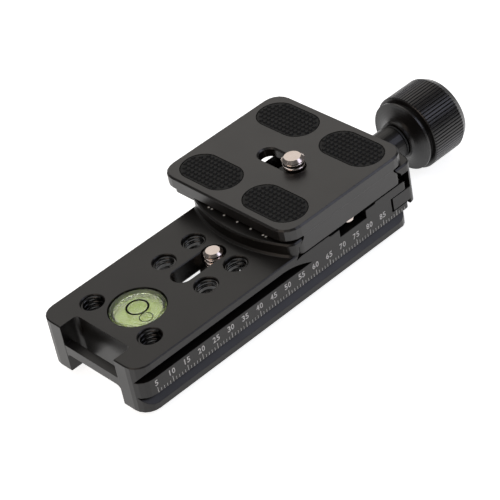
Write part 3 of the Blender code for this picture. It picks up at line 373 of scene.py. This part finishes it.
# The pins, springs, clamp screw and thrust ring: ground stainless steel, greyer and duller
SPRING_FINISH = bright_steel(
    "ground_stainless_steel",
    tones=("b4b0aa", "c4c0ba"),
    roughness=(0.22, 0.32),
)
# The washers: nylon straight from the mould, an even half-matt black
NYLON_FINISH = moulded(
    "moulded_black_nylon",
    tones=("161616", "1c1c1c"),
    roughness=(0.45, 0.55),
    grain=0.3 * MM,
    depth=0.01 * MM,
    ior=1.53,
)
# The pads: moulded rubber, which shines least of all
RUBBER_FINISH = moulded(
    "moulded_black_rubber",
    tones=("090a0a", "0e0f10"),
    roughness=(0.5, 0.6),
    grain=0.12 * MM,
    depth=0.01 * MM,
    ior=1.33,
)
# The level's vial: acrylic from a polished mould, clear with hardly a tint
VIAL_FINISH = clear(
    "clear_moulded_acrylic",
    tones=("eef3e8", "f8fbf4"),
    roughness=(0.02, 0.04),
    ior=1.49,
    alpha=0.5,
)
# The level's liquid: spirit with a little dye, so clear and faintly yellow-green
LIQUID_FINISH = clear(
    "dyed_clear_spirit",
    tones=("eff6d2", "f6fbe2"),
    roughness=(0.01, 0.02),
    ior=1.36,
    alpha=0.5,
)
# The disc under the liquid: coloured right through, it gives the level its bright yellow-green
BACKING_FINISH = moulded(
    "moulded_yellow_green_plastic",
    tones=("c6e05c", "d0e86a"),
    roughness=(0.35, 0.42),
    grain=0.4 * MM,
    depth=0.004 * MM,
)
# The vial's side: frosted by its mould, so it scatters light and reads as a pale grey-green
SIDE_FINISH = moulded(
    "frosted_side_of_the_vial",
    tones=("6f7863", "8a927b"),
    roughness=(0.3, 0.4),
    grain=0.3 * MM,
    depth=0.004 * MM,
)
# The scale, its numbers and the index dots: white paint, flat and matt on the satin black
WHITE_PAINT = paint("white_paint_fill", tones=("efeeea", "faf9f6"))
# The ring on the level: printed black ink, which hardly shines
BLACK_INK = paint("black_level_ink", tones=("080908", "0d0e0c"), shine=0.08)
# The bubble's edge, where the clear spirit turns light away: it reads as a dark olive line
BUBBLE_EDGE = paint("dark_edge_of_the_bubble", tones=("343c20", "3c4628"), shine=0.08)

CAD_FINISHES = {
    "rail_body": RAIL_FINISH,
    "moving_jaw": RAIL_FINISH,
    "quick_release_plate": PLATE_FINISH,
    "clamp_knob": KNOB_FINISH,
    "clamp_screw": SPRING_FINISH,
    "guide_pin_near": SPRING_FINISH,
    "guide_pin_far": SPRING_FINISH,
    "jaw_spring_near": SPRING_FINISH,
    "jaw_spring_far": SPRING_FINISH,
    "thrust_washer": NYLON_FINISH,
    "plate_screw_washer": NYLON_FINISH,
    "rail_screw_washer": NYLON_FINISH,
    "rail_screw_thrust_ring": SPRING_FINISH,
    "safety_stop_near": SCREW_FINISH,
    "safety_stop_far": SCREW_FINISH,
    "level_vial": VIAL_FINISH,
    "level_liquid": LIQUID_FINISH,
    "level_backing": BACKING_FINISH,
}
for node_name, finish in CAD_FINISHES.items():
    slots = NODES[node_name].data.materials
    for i in range(len(slots)):
        slots[i] = finish


def new_object(name, mesh, material=None):
    """A mesh as an object of the scene, in one material where one is given."""
    if material is not None:
        mesh.materials.clear()
        mesh.materials.append(material)
    item = bpy.data.objects.new(name, mesh)
    bpy.context.scene.collection.objects.link(item)
    return item


def mesh_from(name, points, faces):
    """A mesh of these points and faces."""
    mesh = bpy.data.meshes.new(name)
    mesh.from_pydata(points, [], faces)
    return mesh


def settled(item):
    """A plain mesh of what an object's modifiers or text make of it; the object itself goes."""
    bpy.context.view_layer.update()
    evaluated = item.evaluated_get(bpy.context.evaluated_depsgraph_get())
    mesh = bpy.data.meshes.new_from_object(evaluated)
    mesh.transform(item.matrix_world)
    bpy.data.objects.remove(item)
    return mesh


def geometry_tree(name, sockets):
    """A geometry tree with named inputs, and the node that gives their values."""
    tree = bpy.data.node_groups.new(name, "GeometryNodeTree")
    tree.interface.new_socket("Geometry", in_out="INPUT", socket_type="NodeSocketGeometry")
    tree.interface.new_socket("Geometry", in_out="OUTPUT", socket_type="NodeSocketGeometry")
    for label, kind in sockets.items():
        tree.interface.new_socket(label, in_out="INPUT", socket_type="NodeSocket" + kind)
    return tree, add(tree, "NodeGroupInput").outputs


def close_tree(tree, geometry, material):
    """Ends a tree in plain mesh with its material set."""
    real = add(tree, "GeometryNodeRealizeInstances", None, {0: geometry})
    painted = add(tree, "GeometryNodeSetMaterial", None, {"Geometry": real, "Material": material})
    add(tree, "NodeGroupOutput", None, {0: painted})


def grow(name, points, tree, values):
    """The mesh that a geometry tree makes from a few points."""
    item = new_object(name, mesh_from(name, points, []))
    modifier = item.modifiers.new("growth", "NODES")
    modifier.node_group = tree
    for socket in tree.interface.items_tree:
        if socket.in_out == "INPUT" and socket.name in values:
            modifier[socket.identifier] = values[socket.name]
    return settled(item)


def thread_tree():
    """A three-cornered ridge that climbs a helix round each point."""
    sockets = {
        "Radius": "Float",
        "Pitch": "Float",
        "Height": "Float",
        "Ridge": "Float",
        "Wider": "Float",
        "Turned": "Float",
        "Steps": "Int",
        "Material": "Material",
    }
    tree, given = geometry_tree("screw_thread", sockets)
    spiral_inputs = {
        "Resolution": given["Steps"],
        "Rotations": add(tree, "ShaderNodeMath", DIVIDE, {0: given["Height"], 1: given["Pitch"]}),
        "Start Radius": given["Radius"],
        "End Radius": given["Radius"],
        "Height": given["Height"],
    }
    spiral = add(tree, "GeometryNodeCurveSpiral", None, spiral_inputs)
    upright = add(tree, "GeometryNodeSetCurveNormal", {"mode": "Z_UP"}, {0: spiral})
    corner_inputs = {"Resolution": RIDGE_CORNERS, "Radius": given["Ridge"]}
    corners = add(tree, "GeometryNodeCurvePrimitiveCircle", None, corner_inputs)
    turn = add(tree, "ShaderNodeCombineXYZ", None, {"Z": given["Turned"]})
    wide = add(tree, "ShaderNodeCombineXYZ", None, {"X": 1.0, "Y": given["Wider"], "Z": 1.0})
    profile_inputs = {"Geometry": corners, "Rotation": turn, "Scale": wide}
    profile = add(tree, "GeometryNodeTransform", None, profile_inputs)
    ridge_inputs = {"Curve": upright, "Profile Curve": profile, "Fill Caps": True}
    ridge = add(tree, "GeometryNodeCurveToMesh", None, ridge_inputs)
    copy_inputs = {"Points": given["Geometry"], "Instance": ridge}
    copies = add(tree, "GeometryNodeInstanceOnPoints", None, copy_inputs)
    close_tree(tree, copies, given["Material"])
    return tree


def dot_tree():
    """Small blunt cones on a square grid, kept to a field with round ends."""
    sockets = {
        "Pitch": "Float",
        "Foot Radius": "Float",
        "Top Radius": "Float",
        "Dot Height": "Float",
        "Field Width": "Float",
        "Field Length": "Float",
        "Rows": "Int",
        "Material": "Material",
    }
    tree, given = geometry_tree("rubber_dots", sockets)
    gaps = add(tree, "ShaderNodeMath", SUBTRACT, {0: given["Rows"], 1: 1.0})
    span = add(tree, "ShaderNodeMath", MULTIPLY, {0: given["Pitch"], 1: gaps})
    rows = given["Rows"]
    grid_inputs = {"Size X": span, "Size Y": span, "Vertices X": rows, "Vertices Y": rows}
    grid = add(tree, "GeometryNodeMeshGrid", None, grid_inputs)
    position = add(tree, "GeometryNodeInputPosition")
    here = add(tree, "ShaderNodeSeparateXYZ", None, {0: position}).outputs
    radius = add(tree, "ShaderNodeMath", MULTIPLY, {0: given["Field Width"], 1: 0.5})
    half_length = add(tree, "ShaderNodeMath", MULTIPLY, {0: given["Field Length"], 1: 0.5})
    straight = add(tree, "ShaderNodeMath", SUBTRACT, {0: half_length, 1: radius})
    away = add(tree, "ShaderNodeMath", ABSOLUTE, {0: here[1]})
    past = add(tree, "ShaderNodeMath", SUBTRACT, {0: away, 1: straight})
    past = add(tree, "ShaderNodeMath", LARGER, {0: past, 1: 0.0})
    across_square = add(tree, "ShaderNodeMath", MULTIPLY, {0: here[0], 1: here[0]})
    along_square = add(tree, "ShaderNodeMath", MULTIPLY, {0: past, 1: past})
    squares = add(tree, "ShaderNodeMath", ADD, {0: across_square, 1: along_square})
    reach = add(tree, "ShaderNodeMath", ROOT, {0: squares})
    inside = add(tree, "ShaderNodeMath", LESS_THAN, {0: reach, 1: radius})
    cone_inputs = {
        "Vertices": DOT_SIDES,
        "Radius Top": given["Top Radius"],
        "Radius Bottom": given["Foot Radius"],
        "Depth": given["Dot Height"],
    }
    cone = add(tree, "GeometryNodeMeshCone", None, cone_inputs)
    dot_inputs = {"Points": grid, "Selection": inside, "Instance": cone}
    dots = add(tree, "GeometryNodeInstanceOnPoints", None, dot_inputs)
    field_inputs = {"Points": given["Geometry"], "Instance": dots}
    fields = add(tree, "GeometryNodeInstanceOnPoints", None, field_inputs)
    close_tree(tree, fields, given["Material"])
    return tree


def tick_tree():
    """Upright bars in a row, every fifth one longer."""
    sockets = {
        "Count": "Int",
        "Spacing": "Float",
        "Line Width": "Float",
        "Line Depth": "Float",
        "Short": "Float",
        "Long": "Float",
        "Long Every": "Float",
        "Long Wider": "Float",
        "Material": "Material",
    }
    tree, given = geometry_tree("scale_ticks", sockets)
    step = add(tree, "ShaderNodeCombineXYZ", None, {"X": given["Spacing"]})
    row = add(tree, "GeometryNodeMeshLine", None, {"Count": given["Count"], "Offset": step})
    section = {"X": given["Line Width"], "Y": given["Line Depth"], "Z": 1.0}
    size = add(tree, "ShaderNodeCombineXYZ", None, section)
    bar = add(tree, "GeometryNodeMeshCube", None, {"Size": size})
    bar = add(tree, "GeometryNodeTransform", None, {"Geometry": bar, "Translation": (0.0, 0.0, 0.5)})
    index = add(tree, "GeometryNodeInputIndex")
    rest = add(tree, "ShaderNodeMath", MODULO, {0: index, 1: given["Long Every"]})
    is_long = add(tree, "ShaderNodeMath", LESS_THAN, {0: rest, 1: 0.5})
    extra = add(tree, "ShaderNodeMath", SUBTRACT, {0: given["Long"], 1: given["Short"]})
    longer = add(tree, "ShaderNodeMath", MULTIPLY, {0: is_long, 1: extra})
    height = add(tree, "ShaderNodeMath", ADD, {0: given["Short"], 1: longer})
    wider = add(tree, "ShaderNodeMath", MULTIPLY, {0: is_long, 1: given["Long Wider"]})
    width = add(tree, "ShaderNodeMath", ADD, {0: wider, 1: 1.0})
    scale = add(tree, "ShaderNodeCombineXYZ", None, {"X": width, "Y": 1.0, "Z": height})
    bar_inputs = {"Points": row, "Instance": bar, "Scale": scale}
    bars = add(tree, "GeometryNodeInstanceOnPoints", None, bar_inputs)
    row_inputs = {"Points": given["Geometry"], "Instance": bars}
    rows = add(tree, "GeometryNodeInstanceOnPoints", None, row_inputs)
    close_tree(tree, rows, given["Material"])
    return tree


def joined(name, meshes, material):
    """One object of several meshes, with one material."""
    work = bmesh.new()
    for mesh in meshes:
        work.from_mesh(mesh)
        bpy.data.meshes.remove(mesh)
    bmesh.ops.recalc_face_normals(work, faces=work.faces)
    mesh = bpy.data.meshes.new(name)
    work.to_mesh(mesh)
    work.free()
    return new_object(name, mesh, material)


def round_point(centre, radius, turn, height):
    """The point at a turn round an upright axis."""
    return (centre[0] + radius * math.cos(turn), centre[1] + radius * math.sin(turn), height)


def turned_mesh(name, profile, centre):
    """A closed body of revolution round an upright axis.
    The profile runs from axis to axis, as radius and height."""
    points = [(centre[0], centre[1], profile[0][1])]
    for radius, height in profile[1:-1]:
        for i in range(ROUND_STEPS):
            points.append(round_point(centre, radius, math.tau * i / ROUND_STEPS, height))
    points.append((centre[0], centre[1], profile[-1][1]))
    faces = []
    rings = len(profile) - 2
    for i in range(ROUND_STEPS):
        after = (i + 1) % ROUND_STEPS
        faces.append((0, 1 + i, 1 + after))
        for ring in range(rings - 1):
            low = 1 + ring * ROUND_STEPS
            high = low + ROUND_STEPS
            faces.append((low + i, high + i, high + after, low + after))
        last = 1 + (rings - 1) * ROUND_STEPS
        faces.append((last + i, len(points) - 1, last + after))
    return mesh_from(name, points, faces)


def box_mesh(name, low, high):
    """An upright box between two corners."""
    xs, ys, zs = zip(low, high)
    points = [(x, y, z) for x in xs for y in ys for z in zs]
    faces = [(0, 1, 3, 2), (4, 6, 7, 5), (0, 4, 5, 1), (2, 3, 7, 6), (0, 2, 6, 4), (1, 5, 7, 3)]
    return mesh_from(name, points, faces)


def annulus_mesh(name, centre, inner, outer, low, high, steps=ROUND_STEPS):
    """A flat ring round an upright axis."""
    points = []
    for i in range(steps):
        for radius, height in ((inner, low), (outer, low), (outer, high), (inner, high)):
            points.append(round_point(centre, radius, math.tau * i / steps, height))
    faces = []
    for i in range(steps):
        here = 4 * i
        after = 4 * ((i + 1) % steps)
        for corner in range(4):
            following = (corner + 1) % 4
            faces.append((here + corner, after + corner, after + following, here + following))
    return mesh_from(name, points, faces)


def digit_meshes(text, middle_x):
    """A number as thin raised print on the near side, upright and reading along the rail."""
    meshes = []
    width = len(text) * DIGIT_WIDTH + (len(text) - 1) * DIGIT_GAP
    for i, digit in enumerate(text):
        curve = bpy.data.curves.new("digit", "FONT")
        curve.body = digit
        curve.size = DIGIT_HEIGHT
        curve.extrude = (PRINT_PROUD + PRINT_SUNK) / 2
        curve.resolution_u = DIGIT_CURVE_STEPS
        curve.offset = DIGIT_BOLDER
        item = bpy.data.objects.new("digit", curve)
        bpy.context.scene.collection.objects.link(item)
        mesh = settled(item)
        xs = [v.co.x for v in mesh.vertices]
        ys = [v.co.y for v in mesh.vertices]
        taller = DIGIT_HEIGHT / (max(ys) - min(ys))
        wide = taller * (max(xs) - min(xs)) if digit == "1" else DIGIT_WIDTH
        stretch = Matrix.Diagonal((wide / (max(xs) - min(xs)), taller, 1.0, 1.0))
        left = middle_x - width / 2 + i * (DIGIT_WIDTH + DIGIT_GAP) + (DIGIT_WIDTH - wide) / 2
        mesh.transform(Matrix.Translation((-min(xs), -min(ys), 0.0)))
        mesh.transform(stretch)
        mesh.transform(Matrix.Rotation(math.radians(90), 4, "X"))
        mesh.transform(Matrix.Translation((left, PRINT_MIDDLE, DIGIT_FOOT)))
        meshes.append(mesh)
    return meshes


def build_scale():
    """The millimetre ticks along the rail's near side, and a number over every fifth."""
    start = (RAIL_FRONT + FIRST_TICK * TICK_SPACING, PRINT_MIDDLE, BAND_LOW)
    values = {
        "Count": LAST_TICK - FIRST_TICK + 1,
        "Spacing": TICK_SPACING,
        "Line Width": TICK_WIDTH,
        "Line Depth": PRINT_PROUD + PRINT_SUNK,
        "Short": SHORT_TICK,
        "Long": LONG_TICK,
        "Long Every": float(NUMBERED_TICK),
        "Long Wider": LONG_TICK_WIDER,
        "Material": WHITE_PAINT,
    }
    ticks = grow("scale_ticks", [start], tick_tree(), values)
    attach(joined("scale_ticks", [ticks], WHITE_PAINT), "rail")
    digits = []
    for value in range(NUMBERED_TICK, LAST_NUMBER + 1, NUMBERED_TICK):
        digits += digit_meshes(str(value), RAIL_FRONT + value * TICK_SPACING)
    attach(joined("scale_numbers", digits, WHITE_PAINT), "rail")


def build_hole_threads(tree):
    """The thread cut in each of the six camera-screw holes."""
    values = {
        "Radius": HOLE_RADIUS - HOLE_RIDGE_INSIDE,
        "Pitch": THREAD_PITCH,
        "Ridge": HOLE_RIDGE,
        "Wider": RIDGE_WIDER,
        "Turned": THREAD_TURNED_IN,
        "Steps": THREAD_STEPS,
        "Material": THREAD_FINISH_WITH_PAINTED_SHADE,
    }
    end = RAIL_TOP - THREAD_END_GAP
    meshes = []
    for name, holes, hole_foot in (("deep", FRONT_HOLES, 0.0), ("short", WEB_HOLES, WEB_UNDERSIDE)):
        foot = hole_foot + THREAD_END_GAP
        points = [(x, y, foot) for x, y in holes]
        meshes.append(grow(name, points, tree, {**values, "Height": end - foot}))
    threads = joined("hole_threads", meshes, THREAD_FINISH_WITH_PAINTED_SHADE)
    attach(threads, "rail")


def screw_shank(name, centre, tip, chamfer_width, chamfer_height, core, crest, thread_foot, neck, head_top):
    """A screw without its thread: a core, a plain neck and a round head with a coin slot below."""
    head_foot = head_top - HEAD_HEIGHT
    profile = [
        (0.0, tip),
        (crest - chamfer_width, tip),
        (crest - CREST_INSET, tip - chamfer_height),
        (core, tip - chamfer_height - CORE_SHOULDER),
        (core, thread_foot),
        (neck, thread_foot),
        (neck, head_top),
        (HEAD_RADIUS - HEAD_CHAMFER, head_top),
        (HEAD_RADIUS, head_top - HEAD_CHAMFER),
        (HEAD_RADIUS, head_foot + HEAD_CHAMFER),
        (HEAD_RADIUS - HEAD_CHAMFER, head_foot),
        (0.0, head_foot),
    ]
    shank = new_object(name + "_shank", turned_mesh(name + "_shank", profile, centre))
    reach = HEAD_RADIUS + COIN_SLOT_OVERRUN
    low = (centre[0] - COIN_SLOT_HALF_WIDTH, centre[1] - reach, head_foot - COIN_SLOT_OVERRUN)
    high = (centre[0] + COIN_SLOT_HALF_WIDTH, centre[1] + reach, head_foot + COIN_SLOT_DEPTH)
    slot = new_object(name + "_slot", box_mesh(name + "_slot", low, high))
    cut = shank.modifiers.new("coin_slot", "BOOLEAN")
    cut.operation = "DIFFERENCE"
    cut.solver = "EXACT"
    cut.object = slot
    mesh = settled(shank)
    bpy.data.objects.remove(slot)
    return mesh


def build_screw(name, body, tree, sizes):
    """A captive camera screw: its shank, and the ridge of its thread from the neck up to the chamfer."""
    shank = screw_shank(name, **sizes)
    core = sizes["core"]
    thread_foot = sizes["thread_foot"]
    values = {
        "Radius": core + CORE_RIDGE_OUTSIDE,
        "Pitch": THREAD_PITCH,
        "Height": sizes["tip"] - sizes["chamfer_height"] - THREAD_RUNOUT - thread_foot,
        "Ridge": sizes["crest"] - core - CORE_RIDGE_OUTSIDE,
        "Wider": RIDGE_WIDER,
        "Turned": THREAD_TURNED_OUT,
        "Steps": THREAD_STEPS,
        "Material": SCREW_FINISH,
    }
    ridge = grow(name + "_ridge", [(*sizes["centre"], thread_foot)], tree, values)
    screw = joined(name + "_turned", [shank, ridge], SCREW_FINISH)
    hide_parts(name)
    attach(screw, body)


def stadium_points(centre, width, length, height):
    """A level outline with straight sides and round ends."""
    radius = width / 2
    straight = length / 2 - radius
    points = []
    for side, start in ((1, 0.0), (-1, math.pi)):
        end_centre = (centre[0], centre[1] + side * straight)
        for i in range(PAD_END_STEPS + 1):
            points.append(round_point(end_centre, radius, start + math.pi * i / PAD_END_STEPS, height))
    return points


def pad_body(name, centre):
    """A flat rubber body with round ends and a rounded rim."""
    levels = [(0.0, PAD_FOOT)] + [(inset, PAD_FIELD - depth) for inset, depth in PAD_RIM]
    points = []
    for inset, height in levels:
        points += stadium_points(centre, PAD_WIDTH - 2 * inset, PAD_LENGTH - 2 * inset, height)
    count = len(points) // len(levels)
    foot = tuple(reversed(range(count)))
    field = tuple(range(count * (len(levels) - 1), len(points)))
    faces = [foot, field]
    for level in range(len(levels) - 1):
        low = level * count
        for i in range(count):
            after = (i + 1) % count
            faces.append((low + i, low + after, low + count + after, low + count + i))
    return mesh_from(name, points, faces)


def build_pads():
    """The plate's four pads: each a flat rubber body with fine blunt dots all over its top."""
    tree = dot_tree()
    dot_height = PAD_TOP - PAD_FIELD + DOT_SUNK
    values = {
        "Pitch": DOT_PITCH,
        "Foot Radius": DOT_FOOT_RADIUS,
        "Top Radius": DOT_TOP_RADIUS,
        "Dot Height": dot_height,
        "Field Width": PAD_WIDTH - 2 * DOT_MARGIN,
        "Field Length": PAD_LENGTH - 2 * DOT_MARGIN,
        "Rows": DOT_ROWS,
        "Material": RUBBER_FINISH,
    }
    sides = [(side_x, side_y) for side_x in (-1, 1) for side_y in (-1, 1)]
    for number, (side_x, side_y) in enumerate(sides, 1):
        name = f"plate_pad_{number}"
        centre = (side_x * PAD_CENTRE[0], PLATE_CENTRE_Y + side_y * PAD_CENTRE[1])
        body = pad_body(name + "_body", centre)
        dots = grow(name + "_dots", [(*centre, PAD_TOP - dot_height)], tree, values)
        pad = joined(name + "_dotted", [body, dots], RUBBER_FINISH)
        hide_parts(name)
        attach(pad, "plate")


def build_level_ring():
    """The black ring printed on the level, and the bubble's edge.
    The edge turns light away and so reads as a dark line, which is drawn on top, where the eye sees it."""
    foot = LEVEL_TOP - LEVEL_PRINT_SUNK
    top = LEVEL_TOP + PRINT_PROUD
    for name, centre, radius, line, finish in (
        ("level_ring", LEVEL_CENTRE, LEVEL_RING_RADIUS, LEVEL_RING_LINE, BLACK_INK),
        ("bubble_edge", BUBBLE_CENTRE, BUBBLE_RADIUS, BUBBLE_LINE, BUBBLE_EDGE),
    ):
        ring = annulus_mesh(name, centre, radius - line / 2, radius + line / 2, foot, top)
        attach(joined(name, [ring], finish), "rail")


def build_level_side():
    """The vial's side, where the moulded wall scatters light: a pale band round the green floor."""
    inner = LEVEL_SIDE_RADIUS - LEVEL_SIDE_THICK
    side = annulus_mesh(
        "level_side", LEVEL_CENTRE, inner, LEVEL_SIDE_RADIUS, LEVEL_SIDE_FOOT, LEVEL_SIDE_TOP
    )
    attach(joined("level_side", [side], SIDE_FINISH), "rail")


def build_jaw_marks():
    """White index dots on the fixed jaw's top, the end ones double."""
    foot = JAW_TOP - INDEX_DOT_SUNK
    top = JAW_TOP + PRINT_PROUD
    dots = [
        annulus_mesh("dot", centre, INDEX_DOT_HOLE, INDEX_DOT_RADIUS, foot, top, INDEX_DOT_STEPS)
        for centre in INDEX_DOTS
    ]
    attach(joined("jaw_index_marks", dots, WHITE_PAINT), "rail")


def studio_floor():
    """A pale sweep that reads white to the eye and in reflections, and still takes the object's shadow.
    From below it is clear, so that the underside can be looked at."""
    ends = (-FLOOR_REACH, FLOOR_REACH)
    corners = [(x, y, KNOB_LOWEST) for y in ends for x in ends]
    floor = new_object("studio_floor", mesh_from("studio_floor", corners, [(0, 1, 3, 2)]))
    material, tree, place = new_material("pale_paper_sweep")
    rays = add(tree, "ShaderNodeLightPath").outputs
    mirror_rays = {0: rays["Is Glossy Ray"], 1: rays["Is Transmission Ray"]}
    mirrored = add(tree, "ShaderNodeMath", LARGER, mirror_rays)
    seen = add(tree, "ShaderNodeMath", LARGER, {0: rays["Is Camera Ray"], 1: mirrored})
    inputs = wandering(tree, place, PAPER_PATCH, ("ececeb", "f1f1f0"), (0.88, 0.92))
    inputs["Emission Color"] = linear("ffffff")
    inputs["Emission Strength"] = add(tree, "ShaderNodeMath", MULTIPLY, {0: seen, 1: FLOOR_GLOW})
    paper = add(tree, "ShaderNodeBsdfPrincipled", None, inputs)
    below = add(tree, "ShaderNodeNewGeometry").outputs["Backfacing"]
    nothing = add(tree, "ShaderNodeBsdfTransparent")
    surface = add(tree, "ShaderNodeMixShader", None, {0: below, 1: paper, 2: nothing})
    add(tree, "ShaderNodeOutputMaterial", None, {"Surface": surface})
    floor.data.materials.append(material)


def studio_world():
    """A room that is white to the eye and through clear pieces, and gives only a faint light of its own."""
    world = bpy.data.worlds.new("studio")
    bpy.context.scene.world = world
    world.use_nodes = True
    tree = world.node_tree
    tree.nodes.clear()
    rays = add(tree, "ShaderNodeLightPath").outputs
    seen_rays = {0: rays["Is Camera Ray"], 1: rays["Is Transmission Ray"]}
    seen = add(tree, "ShaderNodeMath", LARGER, seen_rays)
    rise = add(tree, "ShaderNodeMath", MULTIPLY, {0: seen, 1: 1.0 - WORLD_STRENGTH})
    strength = add(tree, "ShaderNodeMath", ADD, {0: rise, 1: WORLD_STRENGTH})
    light = add(tree, "ShaderNodeBackground", None, {"Color": linear("ffffff"), "Strength": strength})
    add(tree, "ShaderNodeOutputWorld", None, {"Surface": light})


def softbox(name, place, size, power, colour):
    """A soft rectangular lamp that points at the object."""
    lamp = bpy.data.lights.new(name, "AREA")
    lamp.shape = "RECTANGLE"
    lamp.size, lamp.size_y = size
    lamp.energy = power
    lamp.color = linear(colour)[:3]
    item = bpy.data.objects.new(name, lamp)
    item.location = place
    towards = Vector(SOFTBOX_AIM) - Vector(place)
    item.rotation_euler = towards.to_track_quat("-Z", "Y").to_euler()
    bpy.context.scene.collection.objects.link(item)


def studio_camera():
    """The camera, at the photograph's own distance and lens."""
    data = bpy.data.cameras.new("camera")
    data.lens = CAMERA_LENS
    data.sensor_width = CAMERA_SENSOR
    data.clip_start = CAMERA_NEAREST
    camera = bpy.data.objects.new("camera", data)
    camera.location = CAMERA_PLACE
    camera.rotation_euler = [math.radians(turn) for turn in CAMERA_TURNS]
    bpy.context.scene.collection.objects.link(camera)
    bpy.context.scene.camera = camera


build_scale()
THREADS = thread_tree()
build_hole_threads(THREADS)
build_screw("rail_screw", "rail_screw_turner", THREADS, RAIL_SCREW)
build_screw("plate_screw", "plate_screw_turner", THREADS, PLATE_SCREW)
build_pads()
build_level_ring()
build_level_side()
build_jaw_marks()

studio_floor()
studio_world()
for lamp_name, lamp_settings in SOFTBOXES.items():
    softbox(lamp_name, *lamp_settings)
studio_camera()
bpy.context.scene.view_settings.view_transform = "Standard"
